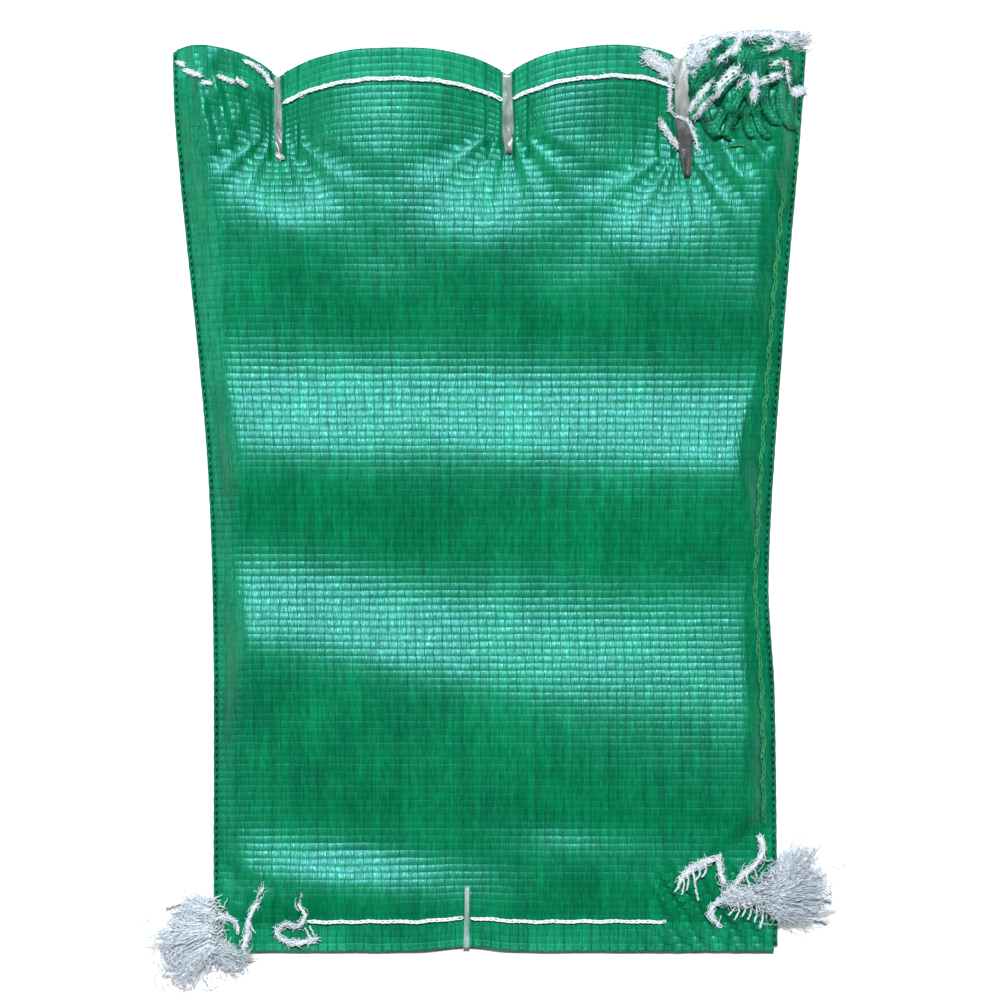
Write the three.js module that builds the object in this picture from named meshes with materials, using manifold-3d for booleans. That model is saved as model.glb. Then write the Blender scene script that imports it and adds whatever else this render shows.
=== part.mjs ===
// A woven mesh produce bag, empty and lying flat. Millimetres, +Z up, +Y towards the mouth, floor at z = 0.
// The front and back mesh are separate sheets that the side and bottom folds join. Film straps hold the mouth edge
// in four lobes, and the two middle lobes of the front can lift.
import * as THREE from "three";
import { mergeVertices } from "three/addons/utils/BufferGeometryUtils.js";
import Module from "manifold-3d";

const wasm = await Module();
wasm.setup();

// Where the frame's origin lies in the drawing below, so that it is the middle of the bag's outline
const ORIGIN = [-1.8, 3.7];

// Driving dimensions
const MESH = 1.2; // thickness of one mesh layer
const HEM = 0.9; // thickness of a turned-in layer
const GAP = 0.3; // clearance between neighbouring pieces
const EDGE_HEIGHT = 5; // height of the folded edges
const FOLD_RADIUS = EDGE_HEIGHT / 2;
const SWELL = 10; // how far the front rises between its edges
const WAVE = 1.8; // amplitude of the gentle waves across the front
const SIDE_RISE = 30; // distance from a side edge over which the front rises
const BOTTOM_RISE = 80; // the same from the bottom edge
const LIFT_LINE = 228; // y of the line about which the middle lobes lift
const HEM_DEPTH = 42; // depth of the turned-in hem below the mouth edge
const HEM_INSET = 24; // how far the hem stays inside the bag's sides
const SEAM_DEPTH = 20; // distance of the chain stitch from the edge
const SEAM_WIDTH = 3;
const SEAM_HEIGHT = 1;
const SEAM_LIFT = 0.8; // clearance of a chain stitch above the mesh
const BOTTOM_SEAM = [-121, 115]; // where the bottom seam starts and ends
const STRAP = 0.35; // thickness of the film straps
const STRAP_DIP = 2; // how far a strap presses the front down
const STRAP_LIFT = 0.7; // clearance of a strap above the fabric that it holds
const STRAP_NOSE = 1; // clearance of a strap past the edge that it goes round

// Side edges as [y, x] knots, from the bottom to the mouth
const LEFT_EDGE = [[-300, -185], [0, -188], [250, -211], [311, -213]];
const RIGHT_EDGE = [[-300, 190], [-130, 188], [-50, 184], [110, 194], [250, 206], [311, 210]];

// Crests (+1) and troughs (-1) of the waves: [y at the left, y at the right, level]
const WAVES = [
  [-300, -300, 0], [-255, -262, 1], [-192, -229, -1], [-106, -162, 1], [-36, -61, -1],
  [21, 15, 1], [103, 85, -1], [176, 154, 1], [245, 240, -1], [312, 312, 0],
];
const WAVE_LEFT = -141;
const WAVE_RIGHT = 131;

// The straps over the mouth edge: position across the bag, width and how far each reaches in from the edge
const STRAPS = [
  { name: "left", x: -142.5, width: 5, reach: 52 },
  { name: "middle", x: 10, width: 8, reach: 52 },
  { name: "right", x: 124.6, width: 10, reach: 78 },
];
const BOTTOM_STRAP = { name: "bottom", x: -17, width: 5, reach: 40 };
const BOTTOM_NOTCH = 3; // how far the bottom strap draws the edge in

// The four lobes of the mouth edge: [x, y] of both ends, and how far the middle bulges past the line between them
const LOBES = [
  { name: "left_corner", from: [-213, 297], to: [-142.5, 280], bulge: 10 },
  { name: "left_middle", from: [-142.5, 280], to: [10, 282], bulge: 18 },
  { name: "right_middle", from: [10, 282], to: [124.6, 292], bulge: 13 },
  { name: "right_corner", from: [124.6, 292], to: [210, 298], bulge: 12 },
];

// Kinked chain-stitch tails and bundles of cut ends: diameter and route as [x, y, clearance above what is below]
const CORDS = {
  tail_left_outer: { diameter: 2.6, route: [[-190, -290, 0.6], [-187, -283, 0.6], [-183, -278.5, 0.6],
    [-176, -277, 0.6], [-170.5, -280, 0.6], [-168.5, -287, 0.6]] },
  tail_left_middle: { diameter: 2.6, route: [[-165, -297, 0.6], [-162, -288, 0.6], [-161.5, -279, 1.8],
    [-158, -271, 1.8], [-154, -264, 0.6], [-152, -257, 0.6]] },
  tail_left_inner: { diameter: 2.6, route: [[-118, -292, 0.6], [-127, -294, 0.6], [-137, -293, 0.6],
    [-143, -288, 0.6], [-137, -282, 0.6], [-129, -283, 0.6], [-124, -276, 1.8], [-128, -268, 1.8],
    [-126, -260, 0.6]] },
  tail_right_inner: { diameter: 3, route: [[154, -254, 0.6], [151, -246, 0.6], [150, -238, 0.6], [142, -240, 0.6],
    [133, -244, 0.6], [126, -250, 0.6], [123, -258, 0.6]] },
  tail_right_upper: { diameter: 3, route: [[160, -259, 0.6], [164, -251, 0.6], [171, -245, 0.6],
    [177, -239, 0.6], [180, -232, 0.6], [178, -224, 0.6]] },
  tail_right_lower: { diameter: 3.4, route: [[186, -268, 0.6], [176, -266, 0.6], [166, -267, 0.6], [156, -265, 0.6],
    [148, -268, 0.6], [146, -276, 0.6], [151, -283, 0.6]] },
  tuft_left_upper: { diameter: 3, route: [[-187, -273, 3.2], [-196, -270, 2.6], [-206, -268, 2.2], [-217, -271, 2]] },
  tuft_left_middle: { diameter: 4, route: [[-186, -289, 3.2], [-196, -289, 2.6], [-208, -290, 2.2],
    [-219, -291, 2]] },
  tuft_left_lower: { diameter: 4, route: [[-184, -297, 3.2], [-192, -303, 2.6], [-200, -310, 2.2],
    [-207, -318, 2]] },
  tuft_right_upper: { diameter: 4, route: [[190, -254, 3.2], [198, -248, 2.6], [207, -240, 2.2],
    [214, -230, 2]] },
  tuft_right_middle: { diameter: 4, route: [[192, -263, 3.2], [203, -262, 2.6], [214, -263, 2.2],
    [226, -266, 2]] },
  tuft_right_lower: { diameter: 4, route: [[190, -274, 3.2], [200, -276, 2.6], [211, -277.5, 2.2],
    [223, -280, 2]] },
  fluff_mouth_left: { diameter: 2.4, route: [[131, 303, 2.4], [140, 307, 2.4], [150, 310.5, 2.4],
    [161, 312, 2.4]] },
  fluff_mouth_right: { diameter: 2.4, route: [[166, 312, 2.4], [178, 313, 2.4], [191, 312, 2.4],
    [205, 311, 2.4]] },
  loose_end_upper: { diameter: 1.6, route: [[158, 246, 0.6], [168, 248, 0.6], [177, 244, 0.6], [183, 237, 0.6],
    [184, 228, 0.6]] },
  loose_end_lower: { diameter: 1.6, route: [[152, 232, 0.6], [162, 235, 0.6], [173, 233, 0.6], [180, 224, 0.6],
    [182, 215, 0.6]] },
};
const CORD_SIDES = 8;
const CORD_STEP = 2.5; // length of one tube step in diameters

const COLOURS = {
  mesh: { color: 0x0e8f5f, roughness: 0.45, metalness: 0 },
  hem: { color: 0x0c7f54, roughness: 0.5, metalness: 0 },
  thread: { color: 0xdfeae6, roughness: 0.8, metalness: 0 },
  film: { color: 0xa3b8b6, roughness: 0.25, metalness: 0 },
};

const group = new THREE.Group();
group.name = "mesh_produce_bag";

const lerp = THREE.MathUtils.lerp;
const ease = (t) => THREE.MathUtils.smoothstep(t, 0, 1);

/** The value at `at` on a smooth curve through [position, value] knots. */
function between(knots, at) {
  const last = knots.length - 1;
  const after = knots.findIndex(([position]) => position > at);
  const next = after < 0 ? last : Math.max(after, 1);
  const slope = (i) => {
    const [from, to] = [knots[Math.max(i - 1, 0)], knots[Math.min(i + 1, last)]];
    return (to[1] - from[1]) / (to[0] - from[0]);
  };
  const [from, to] = [knots[next - 1], knots[next]];
  const span = to[0] - from[0];
  const t = (at - from[0]) / span;
  return (2 * t ** 3 - 3 * t ** 2 + 1) * from[1] + (t ** 3 - 2 * t ** 2 + t) * span * slope(next - 1)
    + (3 * t ** 2 - 2 * t ** 3) * to[1] + (t ** 3 - t ** 2) * span * slope(next);
}

const leftEdge = (y) => between(LEFT_EDGE, y);
const rightEdge = (y) => between(RIGHT_EDGE, y);

/** The scalloped mouth edge. */
function mouthEdge(x) {
  const lobe = LOBES.find(({ to }) => x < to[0]) ?? LOBES[LOBES.length - 1];
  const along = THREE.MathUtils.clamp((x - lobe.from[0]) / (lobe.to[0] - lobe.from[0]), 0, 1);
  const straight = lerp(lobe.from[1], lobe.to[1], along);
  return straight + lobe.bulge * (1 - Math.abs(2 * along - 1) ** 2.6);
}

/** The bottom edge, drawn in where the bottom strap holds it. */
function bottomEdge(x) {
  return -300 + BOTTOM_NOTCH * Math.exp(-(((x - BOTTOM_STRAP.x) / 22) ** 2));
}

/** The waves' level, from -1 in a trough to +1 on a crest. */
function waveLevel(x, y) {
  const across = (x - WAVE_LEFT) / (WAVE_RIGHT - WAVE_LEFT);
  const knots = WAVES.map(([left, right, level]) => [lerp(left, right, across), level]);
  const next = THREE.MathUtils.clamp(knots.findIndex(([position]) => position > y), 1, knots.length - 1);
  const [from, to] = [knots[next - 1], knots[next]];
  return lerp(from[1], to[1], ease((y - from[0]) / (to[0] - from[0])));
}

/** The height of the front mesh's outer face above the floor. */
function frontHeight(x, y) {
  const fromSide = Math.min(x - leftEdge(y), rightEdge(y) - x);
  const fromBottom = y - bottomEdge(x);
  const rise = ease(fromSide / SIDE_RISE) * ease(fromBottom / BOTTOM_RISE);
  const belowStraps = ease((y - LIFT_LINE + 60) / 80);
  const dips = STRAPS.map((strap) => Math.exp(-(((x - strap.x) / 24) ** 2)));
  return EDGE_HEIGHT + rise * (SWELL + WAVE * waveLevel(x, y) - STRAP_DIP * belowStraps * Math.max(...dips));
}

function addMesh(name, slot, geometry) {
  geometry.translate(-ORIGIN[0], -ORIGIN[1], 0);
  const mesh = new THREE.Mesh(geometry, new THREE.MeshStandardMaterial(COLOURS[slot]));
  mesh.name = name;
  group.add(mesh);
}

/**
 * A thin closed sheet. `at(u, v)` gives its [x, y] for u and v from 0 to 1, and `top(x, y)` and `bottom(x, y)` the
 * heights of its two faces.
 */
function sheet({ columns, rows, at, top, bottom }) {
  const geometry = new THREE.BoxGeometry(1, 1, 1, columns, rows, 1);
  const position = geometry.attributes.position;
  for (let i = 0; i < position.count; i += 1) {
    const [x, y] = at(position.getX(i) + 0.5, position.getY(i) + 0.5);
    const height = position.getZ(i) > 0 ? top : bottom;
    position.setXYZ(i, x, y, height(x, y));
  }
  geometry.computeVertexNormals();
  return geometry;
}

/** A footprint between two side edges, x as functions of y, and two end edges, y as functions of x. */
function footprint(left, right, lower, upper) {
  return (u, v) => {
    const x = lerp(left(0), right(0), u);
    const y = lerp(lower(x), upper(x), v);
    return [lerp(left(y), right(y), u), y];
  };
}

/** A [x, y] footprint `width` wide along a line whose y is a function of x. */
function bandAlongX(from, to, line, width) {
  return (u, v) => {
    const x = lerp(from, to, u);
    return [x, line(x) + lerp(-width / 2, width / 2, v)];
  };
}

function toManifold(geometry) {
  const welded = geometry.clone();
  welded.deleteAttribute("normal");
  welded.deleteAttribute("uv");
  const merged = mergeVertices(welded, 1e-4);
  const vertProperties = new Float32Array(merged.attributes.position.array);
  const triVerts = new Uint32Array(merged.index.array);
  return new wasm.Manifold(new wasm.Mesh({ numProp: 3, vertProperties, triVerts }));
}

function fromManifold(solid) {
  const { vertProperties, triVerts } = solid.getMesh();
  const geometry = new THREE.BufferGeometry();
  geometry.setAttribute("position", new THREE.BufferAttribute(new Float32Array(vertProperties), 3));
  geometry.setIndex([...triVerts]);
  geometry.computeVertexNormals();
  return geometry;
}

/** Takes boxes, each [[low x, y, z], [high x, y, z]], out of a geometry. */
function cutBoxes(geometry, boxes) {
  const cuts = boxes.map(([low, high]) => {
    const size = high.map((value, i) => value - low[i]);
    const box = new THREE.BoxGeometry(...size);
    box.translate(...low.map((value, i) => value + size[i] / 2));
    return toManifold(box);
  });
  return fromManifold(cuts.reduce((solid, cut) => solid.subtract(cut), toManifold(geometry)));
}

/** The y of the end of a strap that goes through the mesh, and of the bag's edge that it goes round. */
function strapEnds(strap) {
  if (strap === BOTTOM_STRAP) {
    const edge = bottomEdge(strap.x);
    return { through: edge + strap.reach, edge, outward: -1 };
  }
  const edge = mouthEdge(strap.x);
  return { through: edge - strap.reach, edge, outward: 1 };
}

/**
 * The room that a strap needs in the back: the slot where it goes through the mesh, the notch where it goes round the
 * edge, and the shallow groove in which it runs under the bag.
 */
function strapPassage(strap) {
  const { through, edge, outward } = strapEnds(strap);
  const half = strap.width / 2 + 0.6;
  const box = (from, to, low, high) => [
    [strap.x - half, Math.min(from, to), low],
    [strap.x + half, Math.max(from, to), high],
  ];
  return {
    slot: box(through - 0.9, through + 0.9, -1, EDGE_HEIGHT + SWELL + WAVE),
    notch: box(edge - outward * 0.6, edge + outward * 8, -1, EDGE_HEIGHT),
    groove: box(through, edge + outward * 8, -1, STRAP + GAP + 0.1),
  };
}

/** A closed loop of film round the edge: over the front, round the edge, under the back and up through the mesh. */
function addStrap(strap, clearance) {
  const { through, edge, outward } = strapEnds(strap);
  const nose = STRAP_NOSE + STRAP;
  const steps = 8;
  const over = Array.from({ length: steps + 1 }, (_, i) => {
    const y = lerp(through, edge, i / steps);
    return new THREE.Vector2(outward * y, frontHeight(strap.x, y) + clearance + STRAP);
  });
  const last = over[steps];
  const drop = last.y - 0.1;
  const round = Array.from({ length: 5 }, (_, i) => {
    const angle = (Math.PI * (i + 1)) / 6;
    return new THREE.Vector2(
      outward * edge + Math.sin(angle) * nose,
      0.1 + (drop * (1 + Math.cos(angle))) / 2,
    );
  });
  const outer = [new THREE.Vector2(outward * through, 0.1), ...over, ...round, new THREE.Vector2(last.x, 0.1)];
  const inner = outer.map((point, i) => {
    const before = outer[(i + outer.length - 1) % outer.length];
    const after = outer[(i + 1) % outer.length];
    const tangents = [point.clone().sub(before).normalize(), after.clone().sub(point).normalize()];
    const tangent = tangents[0].clone().add(tangents[1]).normalize();
    const inward = new THREE.Vector2(tangent.y, -tangent.x);
    const widen = 1 / Math.max(0.5, inward.dot(new THREE.Vector2(tangents[0].y, -tangents[0].x)));
    return point.clone().addScaledVector(inward, STRAP * widen);
  });
  const shape = new THREE.Shape(outer);
  shape.holes.push(new THREE.Path(inner.reverse()));
  const geometry = new THREE.ExtrudeGeometry(shape, { depth: strap.width, bevelEnabled: false });
  const position = geometry.attributes.position;
  for (let i = 0; i < position.count; i += 1) {
    const across = position.getZ(i) - strap.width / 2;
    position.setXYZ(i, strap.x + outward * across, outward * position.getX(i), position.getY(i));
  }
  geometry.computeVertexNormals();
  addMesh(`strap_${strap.name}`, "film", geometry);
}

/** The C-shaped section of a fold, opening along +x from an outer edge at x = 0. */
function foldSection() {
  const section = new THREE.Shape();
  section.moveTo(FOLD_RADIUS, 0);
  section.absarc(FOLD_RADIUS, FOLD_RADIUS, FOLD_RADIUS, -Math.PI / 2, Math.PI / 2, true);
  section.lineTo(FOLD_RADIUS, EDGE_HEIGHT - MESH);
  section.absarc(FOLD_RADIUS, FOLD_RADIUS, FOLD_RADIUS - MESH, Math.PI / 2, -Math.PI / 2, false);
  section.closePath();
  return section;
}

/** A fold swept along an edge: `place(inward, along)` turns its section and length into [x, y]. */
function foldGeometry(steps, place) {
  const geometry = new THREE.ExtrudeGeometry(foldSection(), { depth: 1, steps, curveSegments: 5, bevelEnabled: false });
  const position = geometry.attributes.position;
  for (let i = 0; i < position.count; i += 1) {
    const [x, y] = place(position.getX(i), position.getZ(i));
    position.setXYZ(i, x, y, position.getY(i));
  }
  geometry.computeVertexNormals();
  return geometry;
}

/** Turns a mirrored geometry's faces outward again. */
function flip(geometry) {
  const index = geometry.index ? [...geometry.index.array] : [...Array(geometry.attributes.position.count).keys()];
  for (let i = 0; i < index.length; i += 3) {
    [index[i], index[i + 1]] = [index[i + 1], index[i]];
  }
  geometry.setIndex(index);
  geometry.computeVertexNormals();
  return geometry;
}

const panelInset = FOLD_RADIUS + GAP;
const panelLeft = (y) => leftEdge(y) + panelInset;
const panelRight = (y) => rightEdge(y) - panelInset;
const panelBottom = (x) => bottomEdge(x) + panelInset + 0.4;

function addPanels() {
  const frontEnd = () => LIFT_LINE - 0.4;
  const outline = footprint(panelLeft, panelRight, panelBottom, frontEnd);
  const bunch = (u) => u - (0.7 * Math.sin(2 * Math.PI * u)) / (2 * Math.PI); // closer columns near the sides
  const front = sheet({
    columns: 26,
    rows: 36,
    at: (u, v) => outline(bunch(u), v),
    top: frontHeight,
    bottom: (x, y) => frontHeight(x, y) - MESH,
  });
  const frontStraps = [...STRAPS, BOTTOM_STRAP].filter((strap) => strapEnds(strap).through < LIFT_LINE - GAP);
  addMesh("front_panel", "mesh", cutBoxes(front, frontStraps.map((strap) => strapPassage(strap).slot)));
  const back = sheet({
    columns: 30,
    rows: 14,
    at: footprint(panelLeft, panelRight, panelBottom, mouthEdge),
    top: () => MESH,
    bottom: () => 0,
  });
  const { slot, groove } = strapPassage(BOTTOM_STRAP);
  const passages = STRAPS.map(strapPassage).flatMap(Object.values);
  addMesh("back_panel", "mesh", cutBoxes(back, [...passages, slot, groove]));
}

function addFolds() {
  const sideStart = -300 + panelInset + 1.5;
  const sides = [["left", leftEdge, 1], ["right", rightEdge, -1]];
  for (const [side, edge, inwards] of sides) {
    const end = mouthEdge(edge(300)) - 2;
    const geometry = foldGeometry(14, (inward, along) => {
      const y = lerp(sideStart, end, along);
      return [edge(y) + inwards * inward, y];
    });
    addMesh(`${side}_fold`, "mesh", inwards > 0 ? flip(geometry) : geometry);
  }
  const low = leftEdge(-300) + 1;
  const high = rightEdge(-300) - 1;
  const bottom = foldGeometry(26, (inward, along) => {
    const x = lerp(low, high, along);
    return [x, bottomEdge(x) + inward];
  });
  const { groove } = strapPassage(BOTTOM_STRAP);
  addMesh("bottom_fold", "mesh", cutBoxes(bottom, [groove]));
  const turnIn = sheet({
    columns: 16,
    rows: 1,
    at: bandAlongX(low + 12, high - 12, (x) => bottomEdge(x) + 16, 24),
    top: () => MESH + GAP + HEM,
    bottom: () => MESH + GAP,
  });
  addMesh("bottom_turn_in", "hem", turnIn);
}

/** The two x limits of a lobe, clear of the straps beside it. */
function lobeSides(index) {
  const clear = 6.6;
  const left = index === 0 ? panelLeft : () => STRAPS[index - 1].x + clear;
  const right = index === STRAPS.length ? panelRight : () => STRAPS[index].x - clear;
  return [left, right];
}

function addLobes() {
  LOBES.forEach((lobe, index) => {
    const [left, right] = lobeSides(index);
    const columns = Math.round((lobe.to[0] - lobe.from[0]) / 7);
    const skin = sheet({
      columns,
      rows: 6,
      at: footprint(left, right, () => LIFT_LINE + 0.4, mouthEdge),
      top: frontHeight,
      bottom: (x, y) => frontHeight(x, y) - MESH,
    });
    addMesh(`lobe_${lobe.name}`, "mesh", skin);
    const hemLeft = (y) => left(y) + (index === 0 ? HEM_INSET : 1);
    const hemRight = (y) => right(y) - (index === STRAPS.length ? HEM_INSET : 1);
    const hem = sheet({
      columns,
      rows: 3,
      at: footprint(hemLeft, hemRight, (x) => mouthEdge(x) - HEM_DEPTH, (x) => mouthEdge(x) - 1.5),
      top: (x, y) => frontHeight(x, y) - MESH - GAP,
      bottom: (x, y) => frontHeight(x, y) - MESH - GAP - HEM,
    });
    addMesh(`hem_${lobe.name}`, "hem", hem);
    const seam = sheet({
      columns: Math.round(columns * 1.5),
      rows: 1,
      at: bandAlongX(left(290) + 1.5, right(290) - 1.5, (x) => mouthEdge(x) - SEAM_DEPTH, SEAM_WIDTH),
      top: (x, y) => frontHeight(x, y) + SEAM_LIFT + SEAM_HEIGHT,
      bottom: (x, y) => frontHeight(x, y) + SEAM_LIFT,
    });
    addMesh(`seam_${lobe.name}`, "thread", seam);
  });
}

function addBackMouth() {
  const hem = sheet({
    columns: 36,
    rows: 1,
    at: bandAlongX(leftEdge(280) + 22, rightEdge(280) - 22, (x) => mouthEdge(x) - 22, 40),
    top: () => MESH + GAP + HEM,
    bottom: () => MESH + GAP,
  });
  addMesh("hem_back", "hem", cutBoxes(hem, STRAPS.map((strap) => strapPassage(strap).notch)));
  const base = MESH + GAP + HEM + GAP;
  const seam = sheet({
    columns: 36,
    rows: 1,
    at: bandAlongX(leftEdge(280) + 24, rightEdge(280) - 24, (x) => mouthEdge(x) - SEAM_DEPTH, SEAM_WIDTH),
    top: () => base + SEAM_HEIGHT,
    bottom: () => base,
  });
  addMesh("seam_back", "thread", seam);
}

/** The fabric that each mouth strap bunches: two layers thick, with small pleats along the strap. */
function addGathers() {
  const pleat = 0.4;
  for (const strap of STRAPS) {
    const { through, edge } = strapEnds(strap);
    const start = Math.max(through + 1.6, LIFT_LINE + 0.4);
    const gather = sheet({
      columns: 10,
      rows: 5,
      at: (u, v) => [strap.x + lerp(-5.4, 5.4, u), lerp(start, edge, v)],
      top: (x, y) => frontHeight(strap.x, y) + pleat * (Math.cos((x - strap.x) * 1.75) - 1),
      bottom: (x, y) => frontHeight(strap.x, y) - 2 * MESH + pleat * (Math.cos((x - strap.x) * 1.75) - 1),
    });
    addMesh(`gather_${strap.name}`, "mesh", gather);
  }
}

function addOtherSeams() {
  const bottomSeam = sheet({
    columns: 30,
    rows: 1,
    at: bandAlongX(...BOTTOM_SEAM, (x) => bottomEdge(x) + SEAM_DEPTH, SEAM_WIDTH),
    top: (x, y) => frontHeight(x, y) + SEAM_LIFT + SEAM_HEIGHT,
    bottom: (x, y) => frontHeight(x, y) + SEAM_LIFT,
  });
  addMesh("seam_bottom", "thread", bottomSeam);
  const sideSeam = sheet({
    columns: 1,
    rows: 36,
    at: (u, v) => {
      const y = lerp(-215, 205, v);
      return [rightEdge(y) - 9 + lerp(-1, 1, u), y];
    },
    top: (x, y) => frontHeight(x, y) + SEAM_LIFT + SEAM_HEIGHT,
    bottom: (x, y) => frontHeight(x, y) + SEAM_LIFT,
  });
  addMesh("seam_side", "thread", sideSeam);
}

/** The bunched cluster at the right mouth corner: one pleated layer that lies over the corner lobe and its seam. */
function addCornerGather() {
  const [left, right] = [STRAPS[2].x + 9, rightEdge(300) - 8];
  const pleats = 5;
  const ridge = (x, y) => {
    const across = (x - left - (300 - y) * 0.25) / (right - left);
    return 2 * (1 - Math.cos(across * pleats * 2 * Math.PI));
  };
  const base = (x, y) => frontHeight(x, y) + SEAM_LIFT + SEAM_HEIGHT + GAP;
  const gather = sheet({
    columns: 36,
    rows: 6,
    at: bandAlongX(left, right, (x) => mouthEdge(x) - 27, 50),
    top: (x, y) => base(x, y) + MESH + ridge(x, y),
    bottom: (x, y) => base(x, y) + ridge(x, y),
  });
  addMesh("corner_gather", "mesh", gather);
}

/** What a cord lies on: the front mesh inside the bag's outline, and the floor outside it. */
function groundHeight(x, y) {
  const inside = Math.min(x - leftEdge(y), rightEdge(y) - x, y - bottomEdge(x), mouthEdge(x) - y);
  return ease((inside + 8) / 8) * frontHeight(x, Math.max(y, bottomEdge(x)));
}

function addCords() {
  for (const [name, { diameter, route }] of Object.entries(CORDS)) {
    const points = route.map(([x, y, clear]) => new THREE.Vector3(x, y, groundHeight(x, y) + clear + diameter / 2));
    const curve = new THREE.CatmullRomCurve3(points);
    const steps = Math.ceil(curve.getLength() / (diameter * CORD_STEP));
    const section = new THREE.Shape();
    section.absarc(0, 0, diameter / 2, 0, 2 * Math.PI);
    const geometry = new THREE.ExtrudeGeometry(section, {
      steps,
      curveSegments: CORD_SIDES / 2,
      bevelEnabled: false,
      extrudePath: curve,
    });
    addMesh(name, name.startsWith("loose") ? "mesh" : "thread", geometry);
  }
}

addPanels();
addFolds();
addLobes();
addBackMouth();
addGathers();
STRAPS.forEach((strap) => addStrap(strap, STRAP_LIFT));
addStrap(BOTTOM_STRAP, SEAM_LIFT + SEAM_HEIGHT + GAP);
addOtherSeams();
addCornerGather();
addCords();

export default group;
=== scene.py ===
"""A woven mesh produce bag lying flat, seen from straight above.

Shapes are drawn in millimetres in the CAD part's drawing frame: +X across the bag, +Y towards the mouth,
+Z up, floor at z = 0. Every strand of the weave is real geometry. Meshes are in metres in the row frame.
"""

import math

import bpy
import numpy as np
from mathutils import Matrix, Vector


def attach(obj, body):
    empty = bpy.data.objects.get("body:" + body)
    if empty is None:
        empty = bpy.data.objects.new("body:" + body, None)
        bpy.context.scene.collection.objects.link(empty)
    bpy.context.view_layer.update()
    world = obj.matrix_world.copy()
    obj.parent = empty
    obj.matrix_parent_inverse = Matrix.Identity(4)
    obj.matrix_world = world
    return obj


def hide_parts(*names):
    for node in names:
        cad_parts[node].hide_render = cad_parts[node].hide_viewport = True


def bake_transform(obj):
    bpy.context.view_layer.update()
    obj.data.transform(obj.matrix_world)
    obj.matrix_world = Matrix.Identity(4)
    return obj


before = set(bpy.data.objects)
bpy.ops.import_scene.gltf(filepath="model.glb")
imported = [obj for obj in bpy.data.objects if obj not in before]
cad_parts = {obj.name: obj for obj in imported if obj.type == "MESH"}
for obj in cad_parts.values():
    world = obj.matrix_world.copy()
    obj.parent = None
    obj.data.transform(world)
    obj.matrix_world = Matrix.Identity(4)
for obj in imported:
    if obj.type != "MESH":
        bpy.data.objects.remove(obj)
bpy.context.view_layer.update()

MM = 0.001
TURN = 2 * math.pi
UP = np.array([0.0, 0.0, 1.0])
ORIGIN = np.array([-1.8, 3.7, 0.0])  # the row frame's origin in the drawing frame

# The bag's outline and surface, as in the CAD part
EDGE_HEIGHT = 5.0
FOLD_RADIUS = EDGE_HEIGHT / 2
FOLD_INSET = FOLD_RADIUS / 385  # the share of the bag's width that a side fold takes
MESH = 1.2
BACK_LEVEL = 0.75  # height of the back mesh's middle
TURN_IN_LEVEL = MESH + 0.75  # height of the layer that is turned in over the back mesh
HEM_DROP = 1.1  # how far the front's turned-in layer lies under the mesh
SWELL = 10.0
WAVE = 1.8
SIDE_RISE = 30.0
BOTTOM_RISE = 80.0
LIFT_LINE = 228.0
HEM_DEPTH = 42.0
SEAM_DEPTH = 20.0
STRAP_DIP = 2.0
STRAP_DIP_SPREAD = 24.0
BOTTOM = -300.0
LEFT_EDGE = [[-300, -185], [0, -188], [250, -211], [311, -213]]
RIGHT_EDGE = [[-300, 190], [-130, 188], [-50, 184], [110, 194], [250, 206], [311, 210]]
WAVES = [
    [-300, -300, 0], [-255, -262, 1], [-192, -229, -1], [-106, -162, 1], [-36, -61, -1],
    [21, 15, 1], [103, 85, -1], [176, 154, 1], [245, 240, -1], [312, 312, 0],
]
WAVE_LEFT, WAVE_RIGHT = -141.0, 131.0
STRAPS = {"left": (-142.5, 52.0), "middle": (10.0, 52.0), "right": (124.6, 78.0)}  # x and reach from the edge
BOTTOM_STRAP = (-17.0, 40.0)
BOTTOM_NOTCH = 3.0
BOTTOM_NOTCH_SPREAD = 22.0
BOTTOM_SEAM = (-121.0, 115.0)
LOBES = [
    {"name": "left_corner", "from": (-213, 297), "to": (-142.5, 280), "bulge": 10},
    {"name": "left_middle", "from": (-142.5, 280), "to": (10, 282), "bulge": 18},
    {"name": "right_middle", "from": (10, 282), "to": (124.6, 292), "bulge": 13},
    {"name": "right_corner", "from": (124.6, 292), "to": (210, 298), "bulge": 12},
]
LOBE_SQUARENESS = 2.6

# The weave, in row coordinates: v is y before the ends are drawn in
ROW_PITCH = 4.8
ROWS = 125
WARPS = 62
MOUTH_LEVEL = 300.0  # the mouth edge
HEM_LEVEL = MOUTH_LEVEL - SEAM_DEPTH  # the stitch
HEM_END = MOUTH_LEVEL - HEM_DEPTH  # the end of the turned-in layer
WARP_START = -299.0
FOLD_START = -296.0
BOTTOM_FOLD_LEVEL = -297.3
TURN_IN = (-172, 177, -296, -272)  # x and row limits of the bottom's turned-in layer
HEM_INSET = 22.0  # from the bag's sides to the ends of the back hem
FRONT_BANDS = (("hem", BOTTOM, -281), ("lower", -281, -130), ("middle", -130, 50), ("upper", 50, LIFT_LINE))
STRAP_SIDE = 5.5  # half the width of the gathered strip at each strap
STRETCH = 9.0  # the strip beside each gather that stretches when a lobe lifts
BEND_HALF = 8.0  # half the length along the bag in which a lobe bends
BEND_LEVEL = 260.0  # where a strip beside a strap bends

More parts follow.
